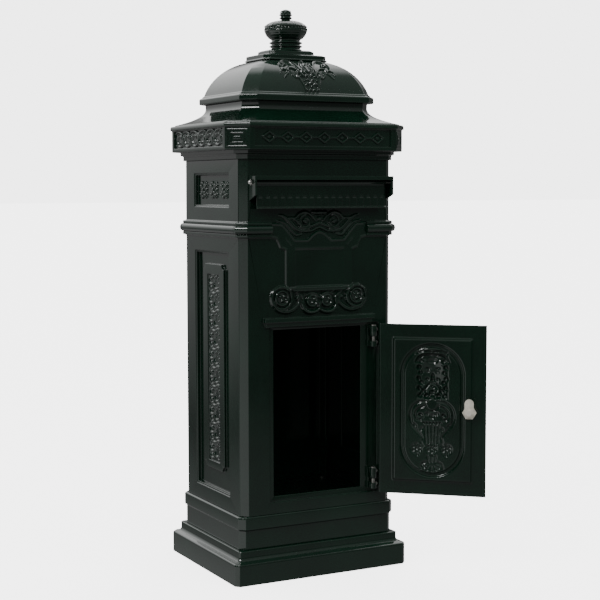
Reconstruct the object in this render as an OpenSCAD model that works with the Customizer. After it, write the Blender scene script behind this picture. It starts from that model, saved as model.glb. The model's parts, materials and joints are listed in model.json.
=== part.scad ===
// Pillar letterbox in cast aluminium: panelled column on a stepped plinth,
// domed roof with a crown finial, hooded letter flap and a hinged, locking door.
// Frame: millimetres, +Z up, origin at the centre of the underside, front towards -Y.

/* [Column] */
// Half width of the column, side to side
col_w = 152.7; // [146:0.1:160]
// Half depth of the column, front to back
col_d = 128.5; // [123:0.1:134]
// Width of the flat cut on each vertical corner
col_c = 12.8; // [9:0.1:16]
// Wall thickness of the cast panels
wall = 4; // [3:0.5:5]
// Height of the underside of the panels
col_z0 = 118; // [116:0.5:120]
// Height of the top of the panels
col_z1 = 748; // [744:0.5:748]
// Height of the centre of the round waist moulding
waist_z = 624.8; // [622:0.1:627]

/* [Plinth] */
// Half width of the bottom slab
plinth_w = 174.8; // [172:0.1:178]
// Half depth of the bottom slab
plinth_d = 148.4; // [146:0.1:151]
// Height of the bottom slab
slab_h = 39.5; // [36:0.5:40]
// Height of the top of the plinth
plinth_h = 58.7; // [57:0.1:60]
// Anchor bolt spacing, side to side
anchor_x = 250; // [220:5:270]
// Anchor bolt spacing, front to back
anchor_y = 200; // [180:5:220]
// Radius of each anchor hole
anchor_r = 5; // [4:0.5:6]

/* [Cornice and roof] */
// Half width of the cornice face
cornice_w = 179.1; // [177:0.1:182]
// Half depth of the cornice face
cornice_d = 151.2; // [149:0.1:154]
// Corner cut of the cornice face
cornice_c = 32.6; // [30:0.1:35]
// Height of the top of the cornice
cornice_z1 = 811.5; // [810:0.5:813]
// Half width of the roof neck
neck_w = 127.5; // [125:0.5:130]
// Half width of the roof eave
eave_w = 136.5; // [135:0.5:139]
// Height of the underside of the eave
eave_z = 851; // [850:0.5:852]
// Half width of the finial base
tier_w = 64.7; // [63:0.1:66]

/* [Door] */
// Half width of the door
door_w = 97; // [95:0.5:98]
// Height of the bottom edge of the door
door_z0 = 140.5; // [140:0.5:143]
// Height of the top edge of the door
door_z1 = 451.5; // [449:0.5:452]
// Half width of the doorway
doorway_w = 89; // [86:0.5:90]
// How far the door stands open, in degrees from closed
door_open = 138.5; // [0:0.5:150]
// Radius of the hinge pins
hinge_r = 3; // [2.5:0.1:3.2]

/* [Letter flap] */
// Half width of the letter flap
flap_w = 129.8; // [126:0.1:132]
// Half width of the letter slot
slot_w = 106; // [90:1:108]
// Radius of the flap pin
pin_r = 2.5; // [2:0.1:2.8]
// Number of flutes along the flap
flutes = 18; // [12:1:22]

/* [Fits] */
// Radial clearance of a pin that turns
run_fit = 0.05; // [0.02:0.01:0.1]
// Radial clearance of a screw in its hole
screw_gap = 0.15; // [0.1:0.05:0.3]

/* [Hidden] */
$fn = 48;
paint = "darkgreen";
steel = "silver";
eps = 0.01;

// corner brackets: heights of their centres
bracket_z = [496, 716];
bracket_h = 40;
bracket_t = 3;
screw_r = 2.5;
head_r = 4.5;
head_h = 3;

// openings in the front panel
doorway_z0 = 149;
doorway_z1 = 447;
rebate_y = -123.5;
rebate_x0 = -99;
rebate_x1 = 124;
slot_z0 = 672;
slot_z1 = 700;

// side panel: long recess, raised plate in it, and the small recess above
recess_w = 71;
recess_z0 = 148;
recess_z1 = 580;
recess_depth = 8;
plate_w = 45;
plate_z0 = 183;
plate_z1 = 560;
plate_drop = 3;
plate_notch = 9;
strip_w = 26;
strip_z0 = 197;
strip_z1 = 541;
strip_depth = 2.5;
knot_w = 73;
knot_z0 = 667;
knot_z1 = 721;
knot_depth = 7;
lip_w = 3.5;
lip_depth = 1.8;
knot_pitch = 45;

// waist moulding: steps out from the column
waist_step = 5.5;
waist_bulge = 10.5;
gap_w = 96;

// sunk panels of the cornice face
fascia_side = 108.5;
fascia_front = 136;
fascia_depth = 3.5;
fascia_z0 = 770.5;
fascia_z1 = 801.5;

// hinge, flap pin and lock positions with the door closed
hinge_x = door_w + 13.5;
hinge_y = -133;
knuckle_r = 6;
hinge_h = 38;
hinge_z = [164.5, 427.5];
hinge_screw_x = 120;
hinge_screw_r = 1.5;
door_y = -124;
door_t = 5;
pan_w = 71;
pan_h = 129.5;
pan_step = 6;
door_cz = (door_z0 + door_z1) / 2;
oval_w = 58.3;
oval_h = 123.9;
lock_x = -68.3;
lock_z = 295;
flap_y = -141.5;
flap_z = 707.5;
hood_w = 138.8;
hood_y = -155;
hood_z1 = 718.5;
barrel_r = 4;

// roof arc: centre of the curve and its radius, in half width and height
arc_w = 44.3;
arc_z = 841.6;
arc_r = 88.5;
dome_z1 = 928.5;
stud_r = 4;
inset = 26;

// octagon with half width w, half depth d and corner cut c
function oct(w, d, c) = [[-w, -d + c], [-w + c, -d], [w - c, -d], [w, -d + c],
    [w, d - c], [w - c, d], [-w + c, d], [-w, d - c]];

module oct_prism(w, d, c, z0, z1) {
    translate([0, 0, z0])
        linear_extrude(z1 - z0)
            polygon(oct(w, d, c));
}

module oct_ring(w, d, c, t, z0, z1) {
    difference() {
        oct_prism(w, d, c, z0, z1);
        oct_prism(w - t, d - t, c - 0.6 * t, z0 - 1, z1 + 1);
    }
}

// solid through a stack of octagons, each [half width, half depth, corner cut, height]
module oct_loft(rings) {
    n = len(rings);
    points = [for (r = rings) for (p = oct(r[0], r[1], r[2])) [p[0], p[1], r[3]]];
    walls = [for (k = [0 : n - 2]) for (i = [0 : 7])
        [8 * k + i, 8 * k + 8 + i, 8 * k + 8 + (i + 1) % 8, 8 * k + (i + 1) % 8]];
    low = [[for (i = [0 : 7]) i]];
    high = [[for (i = [7 : -1 : 0]) 8 * (n - 1) + i]];
    polyhedron(points, concat(walls, low, high), convexity = 6);
}

// block from one corner to the other
module block(low, high) {
    translate(low)
        cube(high - low);
}

// screw along +Z: head below, threaded shank above
module screw(z, shank) {
    translate([0, 0, z - head_h])
        cylinder(r = head_r, h = head_h);
    translate([0, 0, z - eps])
        cylinder(r = screw_r, h = shank);
}

module screw_hole(z0, z1) {
    translate([0, 0, z0])
        cylinder(r = screw_r + screw_gap, h = z1 - z0);
}

// children at the four points (+-x, +-y)
module four(x, y) {
    for (sx = [-1, 1])
        for (sy = [-1, 1])
            translate([sx * x, sy * y, 0])
                children();
}

// closed door pieces turned to where the door stands
module on_door() {
    translate([hinge_x, hinge_y, 0])
        rotate(door_open)
            translate([-hinge_x, -hinge_y, 0])
                children();
}

// cylinder along Y, from y0 to y1
module y_rod(x, z, r, y0, y1) {
    translate([x, y1, z])
        rotate([90, 0, 0])
            cylinder(r = r, h = y1 - y0);
}

// cylinder along X, from x0 to x1
module x_rod(y, z, r, x0, x1) {
    translate([x0, y, z])
        rotate([0, 90, 0])
            cylinder(r = r, h = x1 - x0);
}

/* ---- base ---- */

module base_plinth() {
    lift = 5;
    color(paint)
        difference() {
            oct_loft([[plinth_w, plinth_d, 8, 0], [plinth_w, plinth_d, 8, slab_h - 2],
                [plinth_w - 1.5, plinth_d - 1.5, 8, slab_h],
                [164.5, 137.5, 5, slab_h + 2.5], [162.5, 135.3, 4, slab_h + 6],
                [161.8, 134.6, 4, slab_h + 7], [161.8, 134.6, 4, plinth_h]]);
            oct_prism(plinth_w - 6, plinth_d - 6, 6, lift, slab_h - 5);
            oct_prism(155, 127.5, 4, slab_h - 6, plinth_h - 4);
            oct_prism(126, 97.5, 8, plinth_h - 5, plinth_h + 1);
            oct_prism(105, 78, 8, -1, lift + 1);
            four(anchor_x / 2, anchor_y / 2)
                translate([0, 0, -1])
                    cylinder(r = anchor_r, h = lift + 2);
            four(136, 106)
                screw_hole(plinth_h - 5, plinth_h + 1);
        }
}

module base_collar() {
    band_z = 95.3;
    color(paint)
        difference() {
            union() {
                oct_prism(155.5, 127.3, 10, plinth_h, band_z);
                oct_loft([[155.5, 128.5, 10, band_z - 2], [158.2, 131.2, 11, band_z],
                    [158.2, 131.2, 11, col_z0 - 3], [157.4, 130.4, 11, col_z0 - 1],
                    [155.2, 129.8, 12, col_z0]]);
            }
            oct_prism(150.5, 122.3, 8, plinth_h + 4, col_z0 - 4);
            oct_prism(126, 97.5, 8, plinth_h - 1, col_z0 + 1);
            four(136, 106)
                screw_hole(plinth_h - 1, plinth_h + 5);
            four(131, 102)
                screw_hole(col_z0 - 5, col_z0 + 1);
        }
}

module floor_plate() {
    color(steel)
        difference() {
            oct_prism(134, 118, 8, col_z0, col_z0 + 2);
            four(131, 102)
                screw_hole(col_z0 - 1, col_z0 + 3);
            for (x = [-60, 60])
                translate([x, 0, col_z0 - 1])
                    cylinder(r = 4, h = 4);
        }
}

/* ---- column panels ---- */

// waist moulding as a solid stack, larger than the column all round
module waist_solid() {
    rings = [for (a = [-90 : 10 : 90])
        let (g = waist_step + (waist_bulge - waist_step) * cos(a), z = waist_z + 7 * sin(a))
        [col_w + g, col_d + g, col_c + 0.4 * g, z]];
    g1 = waist_step;
    oct_loft(concat([[col_w - 1, col_d - 1, col_c, waist_z - 15],
        [col_w + g1, col_d + g1, col_c + 0.4 * g1, waist_z - 13],
        [col_w + g1, col_d + g1, col_c + 0.4 * g1, waist_z - 7.8],
        [col_w + g1 - 1.2, col_d + g1 - 1.2, col_c + 0.4 * g1, waist_z - 7.3]], rings,
        [[col_w + g1 - 1.2, col_d + g1 - 1.2, col_c + 0.4 * g1, waist_z + 7.3],
        [col_w + g1, col_d + g1, col_c + 0.4 * g1, waist_z + 7.8],
        [col_w + g1, col_d + g1, col_c + 0.4 * g1, waist_z + 12],
        [col_w - 1, col_d - 1, col_c, waist_z + 14]]));
}

module waist_ring() {
    difference() {
        waist_solid();
        oct_prism(col_w - wall, col_d - wall, col_c - 0.6 * wall, waist_z - 20, waist_z + 20);
    }
}

// region that a front or back panel occupies, corner cuts included
module front_zone() {
    reach = 175;
    block([-reach, -reach, col_z0 - 1], [reach, -col_d + col_c - 0.1, col_z1 + 1]);
}

// region that a side panel occupies, between the corner cuts
module side_zone() {
    reach = 175;
    block([-reach, -col_d + col_c + 0.1, col_z0 - 1], [0, col_d - col_c - 0.1, col_z1 + 1]);
}

// screw holes shared by the panels and their corner brackets
module bracket_screws_side() {
    for (z = bracket_z)
        for (s = [-1, 1])
            translate([-col_w + 1, s * 100, z])
                rotate([0, 90, 0])
                    children();
}

module bracket_screws_front() {
    for (z = bracket_z)
        for (s = [-1, 1])
            translate([s * 126, -col_d + 1, z])
                rotate([-90, 0, 0])
                    children();
}

// shouldered frame with an arched notch in its top edge
module cartouche_frame() {
    translate([0, -col_d, 0])
        rotate([90, 0, 0])
            linear_extrude(5)
                difference() {
                    polygon([[-67, 500], [67, 500], [67, 590], [80, 598], [84, 609], [gap_w, 612],
                        [gap_w, 636], [80, 653], [-80, 653], [-gap_w, 636], [-gap_w, 612],
                        [-84, 609], [-80, 598], [-67, 590]]);
                    polygon([[-22, 594], [-22, 607], [-12, 615], [0, 619], [12, 615],
                        [22, 607], [22, 594]]);
                    translate([-48.5, 520])
                        square([97, 69]);
                }
}

// applied ornament under the flap: frame with two pairs of volutes below it
module front_cartouche() {
    color(paint) {
        cartouche_frame();
        for (s = [-1, 1]) {
            y_rod(s * 75.5, 503.5, 23, -col_d - 6, -col_d);
            y_rod(s * 16, 495, 19, -col_d - 5.5, -col_d);
            y_rod(s * 75.5, 503.5, 8, -col_d - 8, -col_d);
            y_rod(s * 16, 495, 7, -col_d - 7.5, -col_d);
        }
    }
}

module lintel() {
    block([-108, -col_d - 5, 453], [108, -col_d + 0.5, 461.5]);
    block([-111.5, -col_d - 9, 461], [111.5, -col_d + 0.5, 469]);
}

module front_panel() {
    rim = 6;
    color(paint)
        difference() {
            union() {
                intersection() {
                    oct_ring(col_w, col_d, col_c, wall, col_z0, col_z1);
                    front_zone();
                }
                intersection() {
                    waist_ring();
                    front_zone();
                    union() {
                        block([-175, -175, waist_z - 20], [-gap_w, 0, waist_z + 20]);
                        block([gap_w, -175, waist_z - 20], [175, 0, waist_z + 20]);
                    }
                }
                block([rebate_x0 - 5, -col_d + 2, 132], [rebate_x1 + 4, rebate_y + wall, 458]);
                block([-doorway_w - rim, rebate_y, doorway_z0],
                    [-doorway_w, -112.5, doorway_z1]);
                lintel();
                block([-slot_w - 6, -col_d + 2, slot_z0 - 6], [slot_w + 6, -col_d + 8, slot_z1 + 6]);
                block([-120, -col_d + 1, col_z1 - 4], [120, -col_d + 20, col_z1]);
            }
            block([rebate_x0, -140, door_z0 - 1.5], [rebate_x1, rebate_y, door_z1 + 1.5]);
            block([-doorway_w, -140, doorway_z0], [doorway_w, -100, doorway_z1]);
            block([-slot_w, -140, slot_z0], [slot_w, -110, slot_z1]);
            bracket_screws_front()
                cylinder(r = screw_r + screw_gap, h = 10);
            for (z = hinge_z)
                for (dz = [-12, 12])
                    y_rod(hinge_screw_x, z + dz, hinge_screw_r + screw_gap, -130, rebate_y + 3);
            for (s = [-1, 1])
                y_rod(s * 126, 711, screw_r + screw_gap, -130, -col_d + 3);
        }
}

module back_panel() {
    color(paint)
        rotate(180)
            difference() {
                union() {
                    intersection() {
                        oct_ring(col_w, col_d, col_c, wall, col_z0, col_z1);
                        front_zone();
                    }
                    intersection() {
                        waist_ring();
                        front_zone();
                    }
                    difference() {
                        block([-104, -col_d - 3, 160], [104, -col_d + 1, 580]);
                        block([-96, -col_d - 9, 168], [96, -col_d + 9, 572]);
                    }
                    block([-120, -col_d + 1, col_z1 - 4], [120, -col_d + 20, col_z1]);
                }
                bracket_screws_front()
                    cylinder(r = screw_r + screw_gap, h = 10);
            }
}

// outline of the raised plate, its four corners notched
module notched(w, z0, z1, n) {
    difference() {
        translate([-w, z0])
            square([2 * w, z1 - z0]);
        for (x = [-w, w])
            for (z = [z0, z1])
                translate([x, z])
                    circle(r = n);
    }
}

// slab lying in a side panel: outline in (Y, Z), from depth a to depth b below the face
module side_slab(a, b) {
    translate([-col_w + a, 0, 0])
        rotate([90, 0, 90])
            linear_extrude(b - a)
                children();
}

module rect(w, z0, z1) {
    translate([-w, z0])
        square([2 * w, z1 - z0]);
}

// recess with a stepped lip round it
module sunk_panel(w, z0, z1, depth) {
    side_slab(-1, depth)
        rect(w, z0, z1);
    side_slab(-1, lip_depth)
        rect(w + lip_w, z0 - lip_w, z1 + lip_w);
}

module side_panel() {
    face = plate_drop;
    difference() {
        union() {
            difference() {
                union() {
                    intersection() {
                        oct_ring(col_w, col_d, col_c, wall, col_z0, col_z1);
                        side_zone();
                    }
                    intersection() {
                        waist_ring();
                        side_zone();
                    }
                    side_slab(1, recess_depth + wall)
                        rect(recess_w + wall, recess_z0 - wall, recess_z1 + wall);
                    side_slab(1, knot_depth + wall)
                        rect(knot_w + wall, knot_z0 - wall, knot_z1 + wall);
                }
                sunk_panel(recess_w, recess_z0, recess_z1, recess_depth);
                sunk_panel(knot_w, knot_z0, knot_z1, knot_depth);
            }
            side_slab(face, recess_depth + 1)
                notched(plate_w, plate_z0, plate_z1, plate_notch);
            block([-col_w + wall - 1, -100, col_z1 - 4], [-col_w + 20, 100, col_z1]);
        }
        side_slab(face - 1, face + strip_depth)
            rect(strip_w, strip_z0, strip_z1);
        side_slab(face + strip_depth + wall, recess_depth + wall + 1)
            rect(plate_w - wall, plate_z0 + plate_notch, plate_z1 - plate_notch);
        bracket_screws_side()
            cylinder(r = screw_r + screw_gap, h = 10);
        for (y = [-60, 60])
            translate([-141, y, 0])
                screw_hole(col_z1 - 5, col_z1 + 1);
    }
}

// running scroll set into the raised plate
module scroll_strip() {
    face = plate_drop;
    difference() {
        side_slab(face, face + strip_depth)
            rect(strip_w, strip_z0, strip_z1);
        for (z = [strip_z0 + 17 : 34.4 : strip_z1])
            for (s = [-1, 1])
                translate([-col_w + face - 1, s * strip_w, z])
                    rotate([0, 90, 0])
                        cylinder(r = 5, h = strip_depth + 2);
    }
}

// three leaf knots in the upper recess
module knots() {
    for (k = [-1, 0, 1])
        for (z = [-9.5, 0, 9.5])
            translate([-col_w + knot_depth - 6, k * knot_pitch, (knot_z0 + knot_z1) / 2 + z])
                rotate([0, 90, 0])
                    cylinder(r = 12, h = 6);
}

module left_scroll_strip() {
    color(paint)
        scroll_strip();
}

module right_scroll_strip() {
    color(paint)
        rotate(180)
            scroll_strip();
}

module left_knots() {
    color(paint)
        knots();
}

module right_knots() {
    color(paint)
        rotate(180)
            knots();
}

module left_panel() {
    color(paint)
        side_panel();
}

module right_panel() {
    color(paint)
        rotate(180)
            side_panel();
}

module corner_bracket(z) {
    gap = 0.05;
    difference() {
        intersection() {
            oct_ring(col_w - wall - gap, col_d - wall - gap, col_c - 0.6 * wall, bracket_t,
                z - bracket_h / 2, z + bracket_h / 2);
            block([-200, -200, z - 50], [-116, -88, z + 50]);
        }
        translate([-col_w, -100, z])
            rotate([0, 90, 0])
                cylinder(r = screw_r + screw_gap, h = 20);
        translate([-126, -col_d, z])
            rotate([-90, 0, 0])
                cylinder(r = screw_r + screw_gap, h = 20);
    }
}

module bracket_set(z) {
    for (sx = [0, 1])
        for (sy = [0, 1])
            mirror([sx, 0, 0])
                mirror([0, sy, 0])
                    corner_bracket(z);
}

module lower_corner_brackets() {
    color(steel)
        bracket_set(bracket_z[0]);
}

module upper_corner_brackets() {
    color(steel)
        bracket_set(bracket_z[1]);
}

/* ---- cornice and roof ---- */

module cornice() {
    w = cornice_w;
    d = cornice_d;
    c = cornice_c;
    color(paint)
        difference() {
            oct_loft([[157, 132.5, 15, col_z1], [157, 132.5, 15, 755.5], [158.5, 134, 16, 756.5],
                [162.3, 137.5, 19, 757.5], [162.3, 137.5, 19, 763], [w - 1, d - 1, c, 763.4],
                [w, d, c, 764.4], [w, d, c, 803], [w + 2.5, d + 3.5, c + 1.6, 804],
                [w + 2.5, d + 3.5, c + 1.6, 808.5], [w + 1, d + 2, c + 1, cornice_z1]]);
            oct_prism(148, 124, 10, col_z1 + 4, 766);
            oct_prism(w - 10, d - 10, c - 4, 767, cornice_z1 - 4);
            oct_prism(130, 105, 10, col_z1 - 1, col_z1 + 5);
            oct_prism(130, 105, 10, 760, 770);
            oct_prism(130, 105, 20, cornice_z1 - 5, cornice_z1 + 1);
            for (s = [-1, 1]) {
                translate([s * w, 0, 0])
                    block([-fascia_depth, -fascia_side, fascia_z0],
                        [fascia_depth, fascia_side, fascia_z1]);
                translate([0, s * d, 0])
                    block([-fascia_front, -fascia_depth, fascia_z0],
                        [fascia_front, fascia_depth, fascia_z1]);
            }
            for (x = [-141, 141])
                for (y = [-60, 60])
                    translate([x, y, 0])
                        screw_hole(col_z1 - 1, col_z1 + 5);
            four(138, 70)
                screw_hole(cornice_z1 - 5, cornice_z1 + 1);
        }
}

// row of lozenges in the sunk panel of the front or back face
module fret() {
    mid = (fascia_z0 + fascia_z1) / 2;
    rise = 0.5;
    translate([0, -cornice_d + fascia_depth, 0])
        rotate([90, 0, 0])
            linear_extrude(fascia_depth - rise)
                for (k = [-3 : 3])
                    translate([36 * k, mid])
                        polygon([[-18.5, 0], [0, -11], [18.5, 0], [0, 11]]);
}

module front_fret() {
    color(paint)
        fret();
}

module back_fret() {
    color(paint)
        rotate(180)
            fret();
}

// interlaced scrolls in the sunk panel of a side face
module guilloche() {
    mid = (fascia_z0 + fascia_z1) / 2;
    for (k = [-2.5 : 1 : 2.5])
        for (s = [-1, 1])
            translate([-cornice_w + 0.2, 35.5 * k + 7 * s, mid + 4 * s])
                rotate([0, 90, 0])
                    cylinder(r = 11, h = fascia_depth - 0.2);
}

module left_guilloche() {
    color(paint)
        guilloche();
}

module right_guilloche() {
    color(paint)
        rotate(180)
            guilloche();
}

// cove of the neck: half width at a height fraction t from 0 to 1
function cove(t) = neck_w + 46 * pow(1 - t, 2.6);

module roof_neck() {
    z0 = cornice_z1;
    z1 = 847;
    skin = 6;
    // [fraction of the cove's height, half width, height] of each ring
    steps = [for (k = [0 : 12]) let (t = k / 12) [t, cove(t), z0 + 2 + (z1 - z0 - 2) * t]];
    color(paint)
        difference() {
            oct_loft(concat([[cove(0) + 1, cove(0) + 1 - inset, 31, z0]],
                [for (s = steps) [s[1], s[1] - inset, 22 + 9 * (1 - s[0]), s[2]]],
                [[neck_w, neck_w - inset, 22, eave_z]]));
            oct_loft([for (k = [1 : 12]) let (s = steps[k])
                [s[1] - skin, s[1] - skin - inset, 20 + 9 * (1 - s[0]), s[2] - 0.5]]);
            oct_prism(116, 90, 18, z0 - 1, z0 + 6);
            oct_prism(108, 82, 18, z1 - 2, eave_z + 1);
            four(138, 70)
                screw_hole(z0 - 1, z0 + 6);
            four(116, 45)
                screw_hole(z1 - 2, eave_z + 1);
        }
}

// half width of the dome at height z
function dome_half(z) = arc_w + sqrt(arc_r * arc_r - (z - arc_z) * (z - arc_z));

// roof outline at half width w: the depth and corner cut shrink a little slower
function dome_ring(w, z) = [w, 0.9 * w - 11.3, 0.19 * w - 2, z];

// heights of the dome's rings, evenly spaced round its arc
dome_n = 14;
dome_steps = [for (k = [0 : dome_n]) arc_z + arc_r * sin(16.5 + 62.8 * k / dome_n)];
// underside of the dome's crown, where the finial stud is nutted
crown_z = dome_steps[dome_n - 2] - 1;

module dome_solid() {
    oct_loft(concat([dome_ring(eave_w - 1.2, eave_z), dome_ring(eave_w, eave_z + 1.2),
        dome_ring(eave_w, eave_z + 9.5), dome_ring(eave_w - 1.5, eave_z + 11.5),
        dome_ring(132, eave_z + 12.5), dome_ring(131, eave_z + 15)],
        [for (z = dome_steps) dome_ring(dome_half(z), z)]));
}

module dome_roof() {
    skin = 4.6;
    color(paint)
        difference() {
            dome_solid();
            oct_loft(concat([dome_ring(128, eave_z + 4), dome_ring(127, eave_z + 15)],
                [for (k = [0 : dome_n - 2]) let (z = dome_steps[k]) dome_ring(dome_half(z) - skin, z - 1)]));
            oct_prism(108, 82, 18, eave_z - 1, eave_z + 5);
            four(116, 45)
                screw_hole(eave_z - 1, eave_z + 5);
            translate([0, 0, 900])
                cylinder(r = stud_r + screw_gap, h = 40);
        }
}

// leaf swag lying on the slope of the dome, widest under the finial
module swag() {
    relief = 4.5;
    color(paint)
        difference() {
            intersection() {
                oct_loft([for (z = dome_steps) let (r = dome_ring(dome_half(z), z))
                    [r[0], r[1] + relief, r[2], z + 1]]);
                upright(-120, -40)
                    polygon([[-13, 868], [13, 868], [20, 893], [34, 905], [54, 913], [57, 925],
                        [50, dome_z1], [-50, dome_z1], [-57, 925], [-54, 913], [-34, 905], [-20, 893]]);
            }
            dome_solid();
            block([-80, -50, 900], [80, 0, 960]);
        }
}

module front_swag() {
    swag();
}

module back_swag() {
    rotate(180)
        swag();
}

/* ---- finial ---- */

module finial_base() {
    w = tier_w;
    d = tier_w - 17.7;
    z0 = dome_z1 + 0.1;
    color(paint)
        difference() {
            oct_loft([[w + 1, d + 1, 10, z0], [w + 1, d + 1, 10, z0 + 2], [w - 0.8, d - 0.8, 10, z0 + 3],
                [w - 0.8, d - 0.8, 10, z0 + 9.5], [w - 3, d - 3, 10, z0 + 10.6],
                [48, 34, 9, z0 + 12], [46, 32, 8, z0 + 13], [45.5, 31.5, 8, z0 + 18.2],
                [43, 30, 8, z0 + 19.2], [40.5, 28, 7, z0 + 20.4]]);
            translate([0, 0, z0 - 1])
                cylinder(r = stud_r + screw_gap, h = 30);
        }
}

module finial_crown() {
    z0 = 949;
    lobes = 8;
    color(paint)
        difference() {
            union() {
                rotate_extrude($fn = 96)
                    polygon(concat([[0, z0], [28, z0], [27.5, z0 + 5]],
                        [for (a = [-90 : 30 : 90]) [29 + 2 * cos(a), 956.6 + 1.4 * sin(a)]],
                        [[22, 958.6], [21.6, 961.6]],
                        [for (a = [-90 : 30 : 90]) [29 + 2 * cos(a), 964 + 1.6 * sin(a)]],
                        [[23.5, 966.2], [24, 968.5], [29, 970], [34.5, 975], [38.6, 980.5], [40, 986]],
                        [for (a = [8 : 12 : 80]) [15 + 25 * cos(a), 986.5 + 17.5 * sin(a)]],
                        [[14, 1004.5], [0, 1004.5]]));
                for (k = [0 : lobes - 1])
                    rotate(360 * (k + 0.5) / lobes)
                        translate([31.3, 0, 990.5])
                            sphere(r = 9, $fn = 32);
            }
            translate([0, 0, z0 - 1])
                cylinder(r = stud_r + screw_gap, h = 60);
        }
}

module finial_bud() {
    color(paint)
        difference() {
            rotate_extrude($fn = 48)
                polygon(concat([[0, 1004.5], [9, 1004.5], [8, 1007]],
                    [for (a = [-60 : 30 : 60]) [9 + 1.6 * cos(a), 1009 + 1.4 * sin(a)]],
                    [[7.6, 1011.2], [7.6, 1012.8]],
                    [for (a = [-60 : 30 : 60]) [9 + 1.6 * cos(a), 1015 + 1.4 * sin(a)]],
                    [for (a = [0 : 15 : 90]) [8.2 * cos(a), 1017 + 8 * sin(a)]],
                    [[0, 1025]]));
            translate([0, 0, 1004])
                cylinder(r = stud_r + screw_gap, h = 9);
        }
}

module finial_stud() {
    color(steel)
        translate([0, 0, 912])
            cylinder(r = stud_r, h = 100);
}

module finial_washer() {
    color(steel)
        difference() {
            translate([0, 0, crown_z - 1.6])
                cylinder(r = 10, h = 1.6);
            translate([0, 0, crown_z - 3])
                cylinder(r = stud_r + screw_gap, h = 5);
        }
}

module finial_nut() {
    color(steel)
        difference() {
            translate([0, 0, crown_z - 1.6 - 6.5])
                cylinder(r = 7.5, h = 6.5, $fn = 6);
            translate([0, 0, crown_z - 10])
                cylinder(r = stud_r + screw_gap, h = 10);
        }
}

/* ---- letter flap and its hood ---- */

module letter_hood() {
    cheek = 3.6;
    top = hood_z1 - 3;
    face = -col_d;
    color(paint)
        difference() {
            union() {
                block([-hood_w, hood_y, top], [hood_w, face, hood_z1]);
                block([-hood_w, hood_y, 711.5], [hood_w, hood_y + 3, top + eps]);
                block([-hood_w, face - 2, 705], [hood_w, face, top + eps]);
                for (x = [-hood_w, hood_w - cheek])
                    translate([x, 0, 0])
                        rotate([90, 0, 90])
                            linear_extrude(cheek)
                                polygon([[face, 675], [hood_y, 685.4], [hood_y, top + eps],
                                    [face, top + eps]]);
            }
            x_rod(flap_y, flap_z, pin_r + run_fit, -200, 200);
            for (s = [-1, 1])
                y_rod(s * 126, 711, screw_r + screw_gap, -132, -col_d + 1);
        }
}

module letter_flap() {
    front = -142;
    back = -139;
    z0 = 661;
    pitch = (2 * flap_w - 8) / flutes;
    color(paint)
        difference() {
            union() {
                block([-flap_w, front, z0], [flap_w, back, flap_z - 1]);
                x_rod(flap_y, flap_z, barrel_r, -flap_w, flap_w);
                block([-flap_w, front - 3, z0], [flap_w, front + 1, z0 + 3]);
                for (k = [0 : flutes - 1])
                    block([-flap_w + 6 + pitch * k, front - 2.4, z0 + 2],
                        [-flap_w + 4 + pitch * (k + 0.62), front + 1, z0 + 22]);
            }
            x_rod(flap_y, flap_z, pin_r + run_fit, -200, 200);
        }
}

module flap_pin() {
    color(steel)
        x_rod(flap_y, flap_z, pin_r, -hood_w - 5, hood_w + 5);
}

module flap_pin_nuts() {
    color(steel)
        for (s = [0, 1])
            mirror([s, 0, 0])
                translate([hood_w, flap_y, flap_z])
                    rotate([0, 90, 0])
                        difference() {
                            union() {
                                cylinder(r = 5.2, h = 3, $fn = 6);
                                cylinder(r = 4.3, h = 3.4);
                                translate([0, 0, 3])
                                    sphere(r = 4.1);
                            }
                            translate([0, 0, -9.98])
                                cylinder(r = 20, h = 10);
                            translate([0, 0, -1])
                                cylinder(r = pin_r + eps, h = 6);
                        }
}

/* ---- door ---- */

// stadium outline about the centre of the door, grown by g
module stadium(g) {
    r = oval_w + g;
    for (s = [-1, 1])
        translate([0, door_cz + s * (oval_h - oval_w)])
            circle(r = r, $fn = 64);
    translate([-r, door_cz - oval_h + oval_w])
        square([2 * r, 2 * (oval_h - oval_w)]);
}

// outline in (X, Z) stood up across the door, between depths y0 and y1
module upright(y0, y1) {
    translate([0, y1, 0])
        rotate([90, 0, 0])
            linear_extrude(y1 - y0)
                children();
}

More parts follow.
